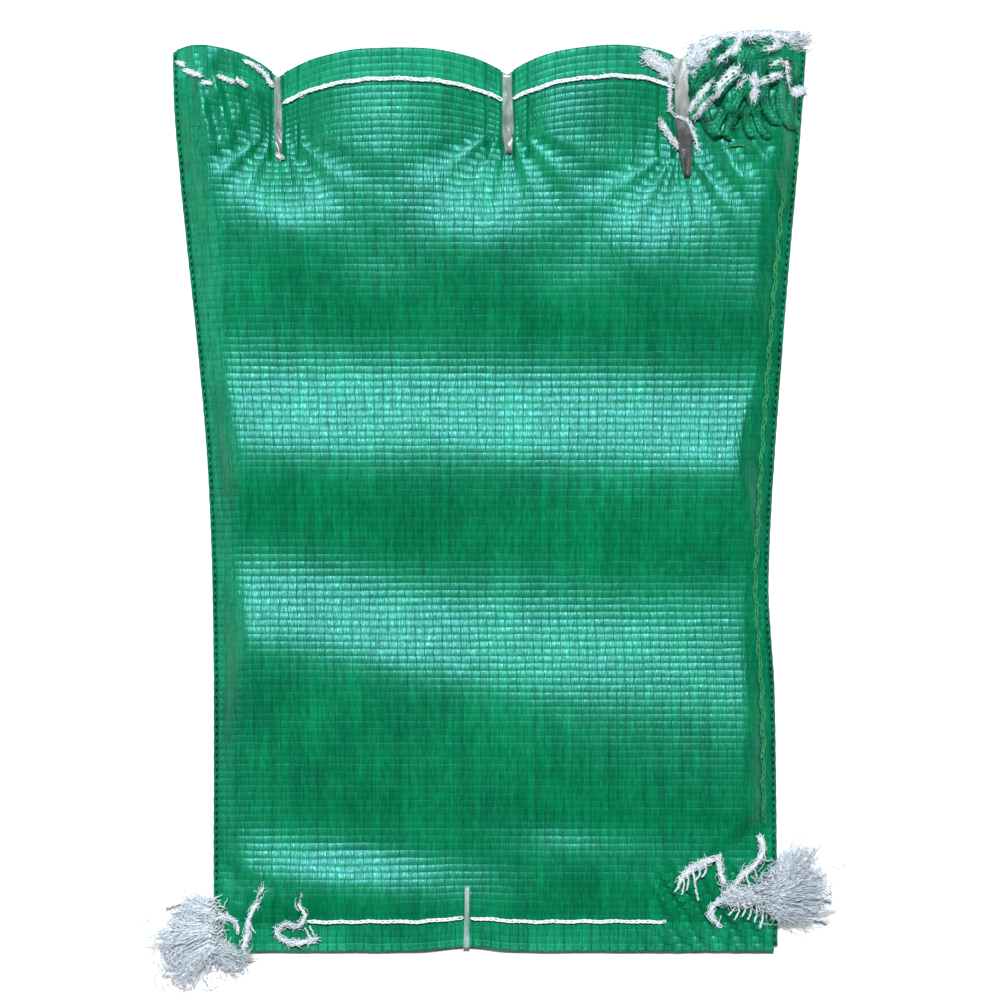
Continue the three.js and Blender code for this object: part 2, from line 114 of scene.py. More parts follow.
# Sections of the tapes: shares of the width, and of the height that the tape puffs up
TAPE = [(-0.5, -0.9), (-0.47, 0.1), (-0.44, 0.3), (-0.16, 1.0), (0.16, 1.0), (0.44, 0.3), (0.47, 0.1),
        (0.5, -0.9), (0.0, -1.2)]
PLAIN_TAPE = [(-0.5, -0.6), (-0.38, 0.8), (0.38, 0.8), (0.5, -0.6)]
TAPE_WIDTH, TAPE_PUFF, TAPE_DROP = 1.09, 0.16, 0.12
TURN_WARP = [(0.5, 0.25), (0.0, 0.5), (-0.5, 0.25), (0.0, 0.1)]
SIDE_TAPE = [(-2.328, 0.0), (0.0, 0.35), (2.328, 0.0), (0.0, -0.1)]
BOTTOM_WARP = [(-0.5, 0.0), (0.0, 0.3), (0.5, 0.0), (0.0, -0.1)]
SELVAGE = [(0.9, 0.0), (0.25, 2.1), (-0.5, 4.2)]  # the angle and the phase of each strand on a side fold

# Gathers and creases in the front mesh that the CAD part leaves out
TOP_FOLDS = [(-137, 36), (-15, 40), (112, 44)]  # x and spread of the swollen folds below the mouth
SWELL_HEIGHT, LOW_SWELL = 3.8, 0.8  # of the wide folds, and what is added to it towards the bottom
SHOULDER = 3.5  # how far the mesh rises towards the mouth between the swollen folds
RAY_HEIGHT, RAY_REACH, RAYS = 1.1, 42.0, 15
# Crumples: middle, size, folds (height, radians per mm in x and y, phase), ripple (height, length, seed)
CRUMPLES = [
    ((-188, 268), (34, 36), (1.8, 0.5236, 0.12, 0.0), (1.6, 14, 13)),
    ((170, 246), (36, 46), (1.6, 0.29568, 0.16632, -2.4024), (0.8, 13, 14)),
    ((-160, -272), (30, 26), (1.2, 0.69813, -0.1, 0.0), (1.0, 13, 15)),
]
PLEATS = (1.7, 13, 0.3)  # height, length across, turn along
STEP_DEPTH, CREASE_DEPTH, CREASE_WIDTH = 4.0, 2.6, 7.0

# Camera and lights, in metres
CAMERA_HEIGHT = 2.5
SENSOR = 36.0
FRAME_WIDTH = 0.663  # the width of the view at the height of the front mesh
FRAME_MIDDLE = (0.0071, -0.0037)
FRONT_LEVEL = 0.012
LAMPS = {  # place, size and power
    "key": ((0.12, 6.2, 12.0), 2.3, 2700),
    "left_fill": ((-1.7, 0.1, 1.1), 0.8, 9),
}
WORLD_COLOUR, WORLD_STRENGTH = (0.93, 0.97, 1.0, 1), 0.09
FLOOR_HALF = 3.0

# Thread and film
FIBRE = 0.24  # radius of a cut fibre
STITCHES = {  # pitch, width, thread and looseness
    "lobe": (3.6, 2.5, 1.1, 0.35),
    "left_corner": (3.2, 2.2, 1.0, 0.8),
    "bottom": (3.6, 2.3, 1.0, 0.3),
    "back": (3.6, 3.0, 1.0, 0.2),
    "side": (5.0, 2.6, 1.1, 0.5),
}
CORNER_DASHES = [
    [(-208.5, 290.5), (-205, 289.5)], [(-204, 285.5), (-198, 283), (-193, 281)],
    [(-190.5, 276.5), (-186.5, 276)], [(-180, 280.5), (-176, 279), (-171.5, 277)],
    [(-168.5, 278), (-163.5, 275)],
    [(-163, 290.5), (-157, 287.5), (-151, 282.5), (-146, 275.5)],
]
SIDE_SEAM = (-215, 205)
SIDE_SEAM_INSET = 9.0
SEAM_END = 24.0  # from the bag's sides to the ends of the back seam
STRAP_CLEAR = 0.8
STRAP_FLOOR = 0.2
FILM = 0.14

# Cords: diameter and the route's [x, y, clearance]. Kinked tails, bundles of cut ends and loose tape ends
CORDS = {
    "tail_left_outer": (2.6, [(-190, -290, 0.6), (-187, -283, 0.6), (-183, -278.5, 0.6), (-176, -277, 0.6),
                              (-170.5, -280, 0.6), (-168.5, -287, 0.6)]),
    "tail_left_middle": (2.6, [(-165, -297, 0.6), (-162, -288, 0.6), (-161.5, -279, 1.8), (-158, -271, 1.8),
                               (-154, -264, 0.6), (-152, -257, 0.6)]),
    "tail_left_inner": (2.6, [(-118, -292, 0.6), (-127, -294, 0.6), (-137, -293, 0.6), (-143, -288, 0.6),
                              (-137, -282, 0.6), (-129, -283, 0.6), (-124, -276, 1.8), (-128, -268, 1.8),
                              (-126, -260, 0.6)]),
    "tail_right_inner": (3, [(154, -254, 0.6), (151, -246, 0.6), (150, -238, 0.6), (142, -240, 0.6),
                             (133, -244, 0.6), (126, -250, 0.6), (123, -258, 0.6)]),
    "tail_right_upper": (3, [(160, -259, 0.6), (164, -251, 0.6), (171, -245, 0.6), (177, -239, 0.6),
                             (180, -232, 0.6), (178, -224, 0.6)]),
    "tail_right_lower": (3.4, [(186, -268, 0.6), (176, -266, 0.6), (166, -267, 0.6), (156, -265, 0.6),
                               (148, -268, 0.6), (146, -276, 0.6), (151, -283, 0.6)]),
    "tuft_left_upper": (3, [(-187, -273, 3.2), (-196, -270, 2.6), (-206, -268, 2.2), (-217, -271, 2)]),
    "tuft_left_middle": (4, [(-186, -289, 3.2), (-196, -289, 2.6), (-208, -290, 2.2), (-219, -291, 2)]),
    "tuft_left_lower": (4, [(-184, -297, 3.2), (-192, -303, 2.6), (-200, -310, 2.2), (-207, -318, 2)]),
    "tuft_right_upper": (4, [(190, -254, 3.2), (198, -248, 2.6), (207, -240, 2.2), (214, -230, 2)]),
    "tuft_right_middle": (4, [(192, -263, 3.2), (203, -262, 2.6), (214, -263, 2.2), (226, -266, 2)]),
    "tuft_right_lower": (4, [(190, -274, 3.2), (200, -276, 2.6), (211, -277.5, 2.2), (223, -280, 2)]),
    "fluff_mouth_left": (2.4, [(131, 303, 2.4), (140, 307, 2.4), (150, 310.5, 2.4), (161, 312, 2.4)]),
    "fluff_mouth_right": (2.4, [(166, 312, 2.4), (178, 313, 2.4), (191, 312, 2.4), (205, 311, 2.4)]),
    "loose_end_upper": (1.6, [(158, 246, 0.6), (168, 248, 0.6), (177, 244, 0.6), (183, 237, 0.6),
                              (184, 228, 0.6)]),
    "loose_end_lower": (1.6, [(152, 232, 0.6), (162, 235, 0.6), (173, 233, 0.6), (180, 224, 0.6),
                              (182, 215, 0.6)]),
}
FANS = {  # start, end, spread, lift and number of fibres
    "tuft_left_upper": [((-185, -275, 5), (-205, -268, 2), 5, 5, 130)],
    "tuft_left_middle": [((-185, -285, 6), (-220, -291, 2), 7, 7, 240)],
    "tuft_left_lower": [((-186, -293, 5), (-209, -318, 2), 6, 6, 190),
                        ((-183, -295, 5), (-171, -313, 2), 5, 4, 120)],
    "tuft_right_upper": [((185, -258, 6), (208, -231, 2), 6, 6, 170)],
    "tuft_right_middle": [((183, -262, 7), (216, -259, 3), 8, 9, 300)],
    "tuft_right_lower": [((183, -270, 6), (218, -276, 2), 7, 6, 210)],
    "fluff_mouth_left": [((131, 287, 14), (150, 303, 8), 5, 4, 90),
                         ((150, 296, 12), (166, 309, 6), 4, 4, 80)],
    "fluff_mouth_right": [((170, 300, 12), (196, 308, 6), 4, 4, 100),
                          ((190, 303, 8), (213, 309, 5), 4, 3, 90)],
}
TEETH = {  # the strands that hang from a tail: start and end
    "tail_right_lower": [((160, -266), (157, -276)), ((163, -267), (161, -279)), ((167, -267), (166, -277)),
                         ((171, -267), (170, -279)), ((175, -267), (174, -281)), ((179, -267), (178, -285)),
                         ((183, -266), (182, -278))],
    "tail_right_inner": [((124, -249), (121, -260)), ((126, -248), (126, -262)), ((129, -247), (129, -259)),
                         ((133, -245), (137, -266)), ((137, -243), (134, -253)), ((141, -241), (139, -250))],
    "tail_right_upper": [((168, -248), (171, -257)), ((173, -243), (176, -250))],
    "tail_left_inner": [((-124, -284), (-119, -293)), ((-121, -283), (-118, -290))],
    "tail_left_middle": [((-161, -281), (-157, -288))],
}
MATS = {  # route, width, number of fibres and rise of the matted parts of a cord
    "tail_right_lower": [([(156, -264), (166, -262), (178, -262), (190, -261)], 12, 520, 5)],
    "tuft_left_middle": [([(-192, -283), (-200, -290), (-206, -299), (-202, -309)], 32, 1100, 8),
                         ([(-188, -296), (-178, -303), (-168, -306)], 16, 380, 5)],
    "tuft_left_upper": [([(-187, -270), (-195, -272), (-205, -276)], 14, 360, 6)],
    "tuft_right_middle": [([(186, -260), (197, -257), (207, -254)], 30, 1000, 10)],
    "tuft_right_lower": [([(186, -268), (198, -269), (210, -270)], 18, 420, 7)],
    "tuft_right_upper": [([(190, -250), (199, -244), (206, -238)], 14, 260, 6)],
    "fluff_mouth_left": [([(133, 300), (144, 306), (160, 309)], 6, 120, 2)],
    "fluff_mouth_right": [([(168, 309), (184, 309), (204, 305)], 7, 200, 2)],
}

# The bunched corner: folds of crumpled mesh, [x, y, angle, length, width, height]
PETALS = [
    (136.6, 279.8, 52, 28, 10, 4.5), (150.5, 288.5, 52, 26, 11, 5), (141.5, 265.5, 52, 28, 8, 5),
    (166.4, 291.5, 75, 24, 11, 4.5), (154.5, 275.5, 46, 28, 9, 5.5), (178, 297, 20, 22, 12, 4),
    (191.5, 288.5, -10, 28, 13, 4.5), (175.7, 283, 100, 22, 10, 5), (186, 279, 30, 22, 8, 4.5),
    (144, 248, 118, 22, 8, 5), (162, 264, 62, 28, 8, 5), (151, 254, 60, 24, 8, 5.5),
    (171, 266, 96, 28, 7, 4.5), (181, 262, 102, 32, 8, 4), (200, 280, 90, 26, 8, 3),
    (191, 262, 98, 36, 8, 3.5), (158, 249, 66, 22, 7, 4.5), (168, 250, 98, 24, 6, 3.5),
    (133, 262, 75, 24, 7, 3.5), (150, 298, 40, 16, 10, 3.5), (177, 248, 112, 24, 6, 2.5),
    (199, 258, 94, 30, 7, 2.5),
]
PETAL_CURVE = 0.02
PETAL_PLEAT = (0.13, 2.6)  # height as a share of the fold's, and pitch
BUNCH_LEFT, BUNCH_RIGHT = 129.0, 205.0
BUNCH_LOW, BUNCH_HIGH = 224.0, 306.0
BUNCH_CELLS, BUNCH_ROWS = 27, 34
CLUSTER_FLUFF = [  # route, width and number of fibres of the white thread caught in the folds
    ([(130, 284), (133, 291), (138, 298)], 10, 360), ([(143, 300), (150, 304)], 5, 80),
    ([(131, 258), (137, 267), (145, 277)], 2.6, 120), ([(135, 254), (142, 262), (151, 270)], 3.0, 140),
    ([(150, 274), (156, 279), (162, 285)], 6, 240), ([(173, 280), (174.5, 272), (173, 265)], 4.4, 150),
    ([(180, 277), (184, 279), (190, 281)], 4.4, 130), ([(181, 298), (186, 300), (190, 302)], 4.4, 100),
    ([(195, 291), (196, 283), (197, 276)], 2.0, 60), ([(200, 271), (203, 271), (206, 273)], 4.6, 120),
    ([(160, 296), (163, 302), (165, 308)], 3.4, 110), ([(150, 290), (155, 295), (159, 299)], 2.6, 70),
    ([(186, 288), (191, 290)], 2.2, 40), ([(164, 275), (167, 280)], 2.0, 40),
]
STRAP_THREADS = [  # route, width and number of fibres
    ([(118, 284), (118.2, 270), (118.5, 258), (123, 254.5), (130.5, 250.5), (134, 242.5), (137, 232)],
     1.5, 200),
    ([(112, 251), (117, 243), (124, 233)], 3.4, 130), ([(-142, 228.5), (-140, 227)], 2.4, 36),
]
SEAM_END_FLUFF = ([(103, 294), (110, 290), (117, 284)], 9, 420)


# Curves and surfaces


def smooth(t):
    t = np.clip(t, 0, 1)
    return t * t * (3 - 2 * t)


def ramp(at, start, end):
    """Goes smoothly from 0 at `start` to 1 at `end`."""
    return smooth((at - start) / (end - start))


def bump(at, middle, spread):
    """1 at the middle, falling smoothly to 0 about `spread` away."""
    return np.exp(-(((at - middle) / spread) ** 2))


def patch(x, y, at, size):
    """A bump in two directions: size is (across, along)."""
    return bump(x, at[0], size[0]) * bump(y, at[1], size[1])


def between(knots, at):
    """The value at `at` on a smooth curve through [position, value] knots."""
    positions, values = np.array(knots, float).T
    last = len(positions) - 1
    before, after = np.maximum(np.arange(last + 1) - 1, 0), np.minimum(np.arange(last + 1) + 1, last)
    slopes = (values[after] - values[before]) / (positions[after] - positions[before])
    upper = np.clip(np.searchsorted(positions, at, side="right"), 1, last)
    lower = upper - 1
    span = positions[upper] - positions[lower]
    t = (at - positions[lower]) / span
    return (
        (2 * t**3 - 3 * t**2 + 1) * values[lower]
        + (t**3 - 2 * t**2 + t) * span * slopes[lower]
        + (3 * t**2 - 2 * t**3) * values[upper]
        + (t**3 - t**2) * span * slopes[upper]
    )


def ripple(x, y, length, seed):
    """A smooth random relief from -1 to 1, whose bumps are about `length` across."""
    local = np.random.default_rng(seed)
    total = 0
    for _ in range(6):
        angle, phase = local.uniform(0, TURN, 2)
        turn = TURN / (length * local.uniform(0.8, 1.5))
        total = total + np.cos((x * math.cos(angle) + y * math.sin(angle)) * turn + phase)
    return total / 6


def left_edge(y):
    return between(LEFT_EDGE, y)


def right_edge(y):
    return between(RIGHT_EDGE, y)


def mouth_edge(x):
    """The scalloped mouth edge."""
    ends = [lobe["to"][0] for lobe in LOBES[:-1]]
    which = np.searchsorted(ends, x, side="right")
    x0, y0 = np.array([lobe["from"] for lobe in LOBES], float)[which].T
    x1, y1 = np.array([lobe["to"] for lobe in LOBES], float)[which].T
    bulge = np.array([lobe["bulge"] for lobe in LOBES], float)[which]
    along = np.clip((x.T - x0) / (x1 - x0), 0, 1)
    return (y0 + (y1 - y0) * along + bulge.T * (1 - np.abs(2 * along - 1) ** LOBE_SQUARENESS)).T


def bottom_edge(x):
    return BOTTOM + BOTTOM_NOTCH * bump(x, BOTTOM_STRAP[0], BOTTOM_NOTCH_SPREAD)


def edge_at(edge, at):
    """The y of the mouth or bottom edge at one x."""
    return float(edge(np.array([at]))[0])


def side_distance(x, y):
    return np.minimum(x - left_edge(y), right_edge(y) - x)


def wave_level(x, y):
    across = (x - WAVE_LEFT) / (WAVE_RIGHT - WAVE_LEFT)
    level = WAVES[0][2]
    for (left0, right0, level0), (left1, right1, level1) in zip(WAVES, WAVES[1:]):
        start = left0 + (right0 - left0) * across
        end = left1 + (right1 - left1) * across
        level = level + (level1 - level0) * ramp(y, start, end)
    return level


def front_height(x, y):
    """The height of the front mesh's outer face, as in the CAD part."""
    rise = ramp(side_distance(x, y), 0, SIDE_RISE) * ramp(y - bottom_edge(x), 0, BOTTOM_RISE)
    dips = np.max([bump(x, at, STRAP_DIP_SPREAD) for at, _ in STRAPS.values()], axis=0)
    below_straps = ramp(y, LIFT_LINE - 60, LIFT_LINE + 20)
    return EDGE_HEIGHT + rise * (SWELL + WAVE * wave_level(x, y) - STRAP_DIP * below_straps * dips)


def swells(x, y):
    """Wide folds across the bag: patchy under the mouth, full bottom left, slack bottom right."""
    from_side = side_distance(x, y)
    uneven = 1 + 0.35 * ripple(x, y, 70, 18)
    folds = np.max([bump(x, at, spread) for at, spread in TOP_FOLDS], axis=0)
    fullness = 1 + ramp(y, 110, 160) * (1.35 * folds - 1.2)
    fullness = fullness * (1 + 0.9 * patch(x, y, (-90, -236), (70, 30)))
    fullness = fullness * (1 - ramp(x, -10, 60) * ramp(y, -205, -235))
    level = wave_level(x, y + 27 * ramp(y, -130, -210))
    waves = (SWELL_HEIGHT + LOW_SWELL * ramp(y, 0, -150)) * level * fullness
    waves = waves * (1 + 0.3 * ripple(x, y, 130, 19)) * ramp(from_side, 0, 26 * uneven)
    waves = waves * ramp(y, BOTTOM, -260)
    steeper = ramp(from_side, 0, 22 * uneven) - ramp(from_side, 0, SIDE_RISE)
    shoulders = SHOULDER * (1 - folds) * ramp(y, 150, 220) * ramp(y, 285, 235)
    return waves + SWELL * steeper * ramp(y, BOTTOM, -220) + shoulders


def strap_rays(x, y):
    """Small gathers that fan out below each strap."""
    height = 0
    for index, (at, strap_reach) in enumerate(STRAPS.values()):
        down = edge_at(mouth_edge, at) - strap_reach + 12 - y
        angle = np.arctan2(x - at, np.maximum(down, 1) + 10)
        reach = np.exp(-np.hypot(x - at, np.maximum(down, 0)) / RAY_REACH) * ramp(down, -30, 10)
        height = height + RAY_HEIGHT * reach * np.cos(angle * RAYS + index)
    return height


def corner_relief(x, y):
    """Crumples at three corners, and pleats, a step and a crease at the bottom."""
    relieved = 0
    for at, size, (height, turn_x, turn_y, phase), (rough, length, seed) in CRUMPLES:
        folds = height * np.cos(x * turn_x + y * turn_y + phase) + rough * ripple(x, y, length, seed)
        relieved = relieved + patch(x, y, at, size) * folds
    height, length, turn = PLEATS
    pleats = height * np.cos(x * TURN / length + y * turn + 1.5 * ripple(x, y, 30, 23))
    step = (x - 165) * 0.66 - (y + 218) * 0.75
    crease = (x + 172) * 0.8 + (y + 250) * 0.6
    relieved = relieved + ramp(x, 100, 116) * ramp(y, -236, -252) * pleats
    relieved = relieved - STEP_DEPTH * patch(x, y, (174, -230), (30, 30)) * ramp(step, -5, 7)
    return relieved - CREASE_DEPTH * patch(x, y, (-172, -250), (20, 24)) * bump(crease, 0, CREASE_WIDTH)


def relief(x, y):
    """Gathers and creases in the front mesh that the CAD part leaves out."""
    bumps = 0.8 * ripple(x, y, 80, 11) + 0.1 * ripple(x, y, 16, 12)
    columns = 0.1 * np.cos(x * TURN / 13 + 2 * ripple(x, y, 90, 16)) * ripple(x, y, 50, 17)
    inside = ramp(side_distance(x, y), 0, 14) * ramp(y - bottom_edge(x), 0, 12)
    return inside * (swells(x, y) + bumps + columns + strap_rays(x, y) + corner_relief(x, y))


def outer_face(x, y):
    """The height of the front mesh with its gathers and creases."""
    return front_height(x, y) + relief(x, y)


def on_front(x, y):
    """Points on the outer face of the front mesh at drawing positions."""
    x, y = np.broadcast_arrays(np.asarray(x, float), np.asarray(y, float))
    return np.stack([x, y, outer_face(x, y)], axis=-1)


def lay(s, v):
    """Where a fabric point lies: s goes from 0 to 1 across the bag, v is y before the ends are drawn in."""
    x = left_edge(v) + s * (right_edge(v) - left_edge(v))
    for at, _ in STRAPS.values():
        offset = x - at
        x = x - 0.3 * ramp(v, 185, 230) * offset * bump(offset, 0, 11)
    x = x + 0.35 * ripple(x, v, 26, 21) * ramp(s, 0, 0.02) * ramp(s, 1, 0.98)
    y = v + ramp(v, 205, 295) * (mouth_edge(x) - MOUTH_LEVEL)
    y = y + ramp(v, -230, BOTTOM) * (bottom_edge(x) - BOTTOM)
    return x, y + 0.3 * ripple(x, v, 30, 22)


def level_surface(level):
    """A surface at one height above the floor."""
    def surface(s, v):
        x, y = lay(s, v)
        return np.stack([x, y, np.full_like(x, level)], axis=-1)
    return surface


def under_front(depth):
    """A surface at one depth under the outer face of the front mesh."""
    def surface(s, v):
        x, y = lay(s, v)
        return np.stack([x, y, outer_face(x, y) - depth], axis=-1)
    return surface


front_surface = under_front(MESH / 2)
front_hem_surface = under_front(MESH + HEM_DROP)
back_surface = level_surface(BACK_LEVEL)  # its strands' outer side is downwards
turn_in_surface = level_surface(TURN_IN_LEVEL)


# Meshes


def mesh_object(name, points, quads, material, extra=()):
    """A smooth mesh from points in millimetres and arrays of faces; `extra` has those of other sizes."""
    groups = [np.asarray(group) for group in (quads, *extra) if len(group)]
    loops = np.concatenate([group.ravel() for group in groups])
    sizes = np.concatenate([np.full(len(group), group.shape[1]) for group in groups])
    mesh = bpy.data.meshes.new(name)
    mesh.vertices.add(len(points))
    mesh.vertices.foreach_set("co", ((points - ORIGIN) * MM).astype(np.float32).ravel())
    mesh.loops.add(len(loops))
    mesh.loops.foreach_set("vertex_index", loops.astype(np.int32))
    mesh.polygons.add(len(sizes))
    mesh.polygons.foreach_set("loop_start", (np.cumsum(sizes) - sizes).astype(np.int32))
    mesh.polygons.foreach_set("loop_total", sizes.astype(np.int32))
    mesh.polygons.foreach_set("use_smooth", np.ones(len(sizes), bool))
    mesh.update(calc_edges=True)
    mesh.validate()
    mesh.materials.append(material)
    return add_object(name, mesh)


def add_object(name, data):
    made = bpy.data.objects.new(name, data)
    bpy.context.scene.collection.objects.link(made)
    return made


def strip_faces(strands, steps, around, closed=False):
    """Quads along each strand, and a cap at each end of an open one."""
    strand = np.arange(strands)[:, None, None] * steps * around
    step = np.arange(steps if closed else steps - 1)[None, :, None] * around
    after = (np.arange(1, steps + (1 if closed else 0)) % steps)[None, :, None] * around
    corner = np.arange(around)[None, None, :]
    following = (corner + 1) % around
    quads = np.stack(
        [
            strand + step + corner,
            strand + after + corner,
            strand + after + following,
            strand + step + following,
        ],
        axis=-1,
    ).reshape(-1, 4)
    if closed:
        return quads, ()
    first = np.arange(strands)[:, None] * steps * around + np.arange(around)
    last = np.arange(strands)[:, None] * steps * around + (steps - 1) * around + np.arange(around)[::-1]
    return quads, (np.concatenate([first, last]),)


def strand_object(name, parts, material, closed=False):
    """One mesh from several arrays of strand points, each of shape (strands, steps, points around, 3)."""
    points, quads, caps, start = [], [], [], 0
    for array in parts:
        strands, steps, around = array.shape[:3]
        faces, ends = strip_faces(strands, steps, around, closed)
        quads.append(faces + start)
        caps.extend(end + start for end in ends)
        points.append(array.reshape(-1, 3))
        start += strands * steps * around
    sizes = sorted({cap.shape[1] for cap in caps})
    merged = [np.concatenate([cap for cap in caps if cap.shape[1] == size]) for size in sizes]
    return mesh_object(name, np.concatenate(points), np.concatenate(quads), material, merged)


def unit(vectors):
    return vectors / np.maximum(np.linalg.norm(vectors, axis=-1, keepdims=True), 1e-9)


def strips(centre, across, normal, section):
    """Points of flat strands: each section point (a, b) is at centre + a * across + b * normal."""
    a = section[..., 0][..., None]
    b = section[..., 1][..., None]
    return centre[..., None, :] + a * across[..., None, :] + b * normal[..., None, :]


def flat_strands(line, across, normal, section):
    """Strands that have one section and one direction across all along their lines."""
    section = np.broadcast_to(np.array(section, float), (*line.shape[:2], len(section), 2))
    return strips(line, np.broadcast_to(np.array(across, float), line.shape), normal, section)


def frames(surface, s, v):
    """Centre, step across one cell, step along one row pitch and normal of a surface at s and v."""
    ds, dv = 0.5 / WARPS, 0.5 * ROW_PITCH
    centre = surface(s, v)
    cell = surface(s + ds, v) - surface(s - ds, v)
    row = surface(s, v + dv) - surface(s, v - dv)
    return centre, cell, row, unit(np.cross(cell, row))


def pinch(s):
    """1 where a warp pair holds the tape, 0 between two pairs."""
    return (0.5 - 0.5 * np.cos(TURN * s * WARPS)) ** 2


def weft_points(surface, s, v, side, fine):
    """Tapes across the bag, for s and v of shape (tapes, steps). `side` is +1 if its outer side is up."""
    centre, _, row, normal = frames(surface, s, v)
    held = pinch(s)
    noise = np.random.default_rng(31).uniform(-1, 1, s.shape)
    width = TAPE_WIDTH - 0.02 * held + 0.01 * noise
    puff = TAPE_PUFF * (1 - 0.25 * held) + 0.02 * noise
    across, out = np.array(TAPE if fine else PLAIN_TAPE).T
    a = side * width[..., None] * across
    b = side * (puff[..., None] * out - TAPE_DROP)
    return strips(centre, row, normal, np.stack([a, b], axis=-1))


def warp_points(surface, s, v, side, over):
    """Warp strands along the bag. `over` strands pass over each tape and the others under it."""
    centre, cell, _, normal = frames(surface, s, v)
    row = (v - BOTTOM) / ROW_PITCH - 0.5
    sway = 0.28 * np.cos(math.pi * row)
    lift = 0.04 + 0.12 * np.cos(TURN * row)
    half = 0.24
    if not over:
        sway, lift, half = -sway, -0.35 - 0.1 * np.cos(TURN * row), 0.4
    across = unit(cell)
    centre = centre + across * sway[..., None] + normal * (side * lift)[..., None]
    section = np.array([[half, 0.0], [0.0, 0.1], [-half, 0.0], [0.0, -0.12]])
    return strips(centre, across, normal, np.broadcast_to(section, (*s.shape, 4, 2)))


def tube(centre, radius, around=5, closed=False, flat=1.0):
    """Round strands along centre lines of shape (strands, steps, 3)."""
    if closed:
        tangent = unit(np.roll(centre, -1, axis=1) - np.roll(centre, 1, axis=1))
    else:
        tangent = unit(np.gradient(centre, axis=1))
    side = unit(np.cross(tangent, np.array([0.03, 0.02, 1.0])))
    up = np.cross(side, tangent)
    angle = np.arange(around) * TURN / around
    radius = np.broadcast_to(radius, centre.shape[:2])[..., None]
    section = np.stack([radius * np.cos(angle), radius * flat * np.sin(angle)], axis=-1)
    return strips(centre, side, up, section)


# Pieces of cloth


def share(x, y):
    """The s coordinate of a drawing x at a given y."""
    return (x - left_edge(y)) / (right_edge(y) - left_edge(y))


def row_range(low, high):
    """The row coordinates v of the tapes between two values of v."""
    rows = BOTTOM + (np.arange(ROWS) + 0.5) * ROW_PITCH
    return rows[(rows >= low) & (rows < high)]


def weft_part(surface, rows, x_from, x_to, side=1, fine=True):
    """The tapes of some rows between two drawing x limits; None stands for the bag's own side."""
    v = rows[:, None]
    s0 = np.zeros_like(v) if x_from is None else share(np.full_like(v, x_from), v)
    s1 = np.ones_like(v) if x_to is None else share(np.full_like(v, x_to), v)
    s0, s1 = np.maximum(s0, FOLD_INSET), np.minimum(s1, 1 - FOLD_INSET)
    per_cell = 3 if fine else 2
    steps = max(2, int(round(float(np.mean(s1 - s0)) * WARPS * per_cell)) + 1)
    s = s0 + (s1 - s0) * np.linspace(0, 1, steps)[None, :]
    return weft_points(surface, s, np.broadcast_to(v, s.shape), side, fine)


def warp_columns(x_from, x_to, at):
    """The s of the warp pairs whose x at row coordinate `at` lies between two limits."""
    s = (np.arange(WARPS) + 0.5) / WARPS
    x = left_edge(at) + s * (right_edge(at) - left_edge(at))
    low = -math.inf if x_from is None else x_from
    high = math.inf if x_to is None else x_to
    return s[(x >= low) & (x < high)]


def warp_part(surface, columns, low, high, side=1, over=True, per_row=3):
    """The warp strands of some columns between two row coordinates."""
    count = max(2, int(round((high - low) / ROW_PITCH * per_row)) + 1)
    v = np.broadcast_to(np.linspace(low, high, count)[None, :], (len(columns), count))
    s = np.broadcast_to(columns[:, None], v.shape)
    return warp_points(surface, s, v, side, over)


def cloth(surface, x_from, x_to, low, high, side=1, fine=True):
    """Tapes and warps of one stretch of cloth between two row coordinates."""
    columns = warp_columns(x_from, x_to, (low + high) / 2)
    tapes = weft_part(surface, row_range(low, high), x_from, x_to, side, fine)
    over = warp_part(surface, columns, low, high, side, True, 3 if fine else 2)
    under = warp_part(surface, columns, low, high, side, False, 2)
    return [tapes, over, under]


# Camera, lights and floor


def metres(point):
    return tuple((np.array(point, float) - ORIGIN) * MM)


def add_camera():
    data = bpy.data.cameras.new("camera")
    data.sensor_width = SENSOR
    data.lens = SENSOR * CAMERA_HEIGHT / FRAME_WIDTH
    camera = add_object("camera", data)
    camera.location = (*FRAME_MIDDLE, CAMERA_HEIGHT + FRONT_LEVEL)
    bpy.context.scene.camera = camera


def add_lamp(name, place, size, power):
    """A square lamp that faces the middle of the bag."""
    data = bpy.data.lights.new(name, "AREA")
    data.size = size
    data.energy = power
    lamp = add_object(name, data)
    lamp.location = place
    lamp.rotation_euler = Vector(place).to_track_quat("Z", "Y").to_euler()


def add_world():
    world = bpy.data.worlds.new("studio")
    world.use_nodes = True
    set_inputs(world.node_tree.nodes["Background"], Color=WORLD_COLOUR, Strength=WORLD_STRENGTH)
    bpy.context.scene.world = world


def add_floor():
    mesh = bpy.data.meshes.new("floor")
    half = FLOOR_HALF
    corners = [(-half, -half, 0), (half, -half, 0), (half, half, 0), (-half, half, 0)]
    mesh.from_pydata(corners, [], [(0, 1, 2, 3)])
    mesh.materials.append(floor_material())
    add_object("floor", mesh)


# Materials


def set_inputs(node, **values):
    """Sets a node's inputs; an underscore in a name stands for a space."""
    for name, value in values.items():
        node.inputs[name.replace("_", " ")].default_value = value


def new_material(name):
    material = bpy.data.materials.new(name)
    material.use_nodes = True
    nodes = material.node_tree.nodes
    return material, nodes, material.node_tree.links, nodes["Principled BSDF"]


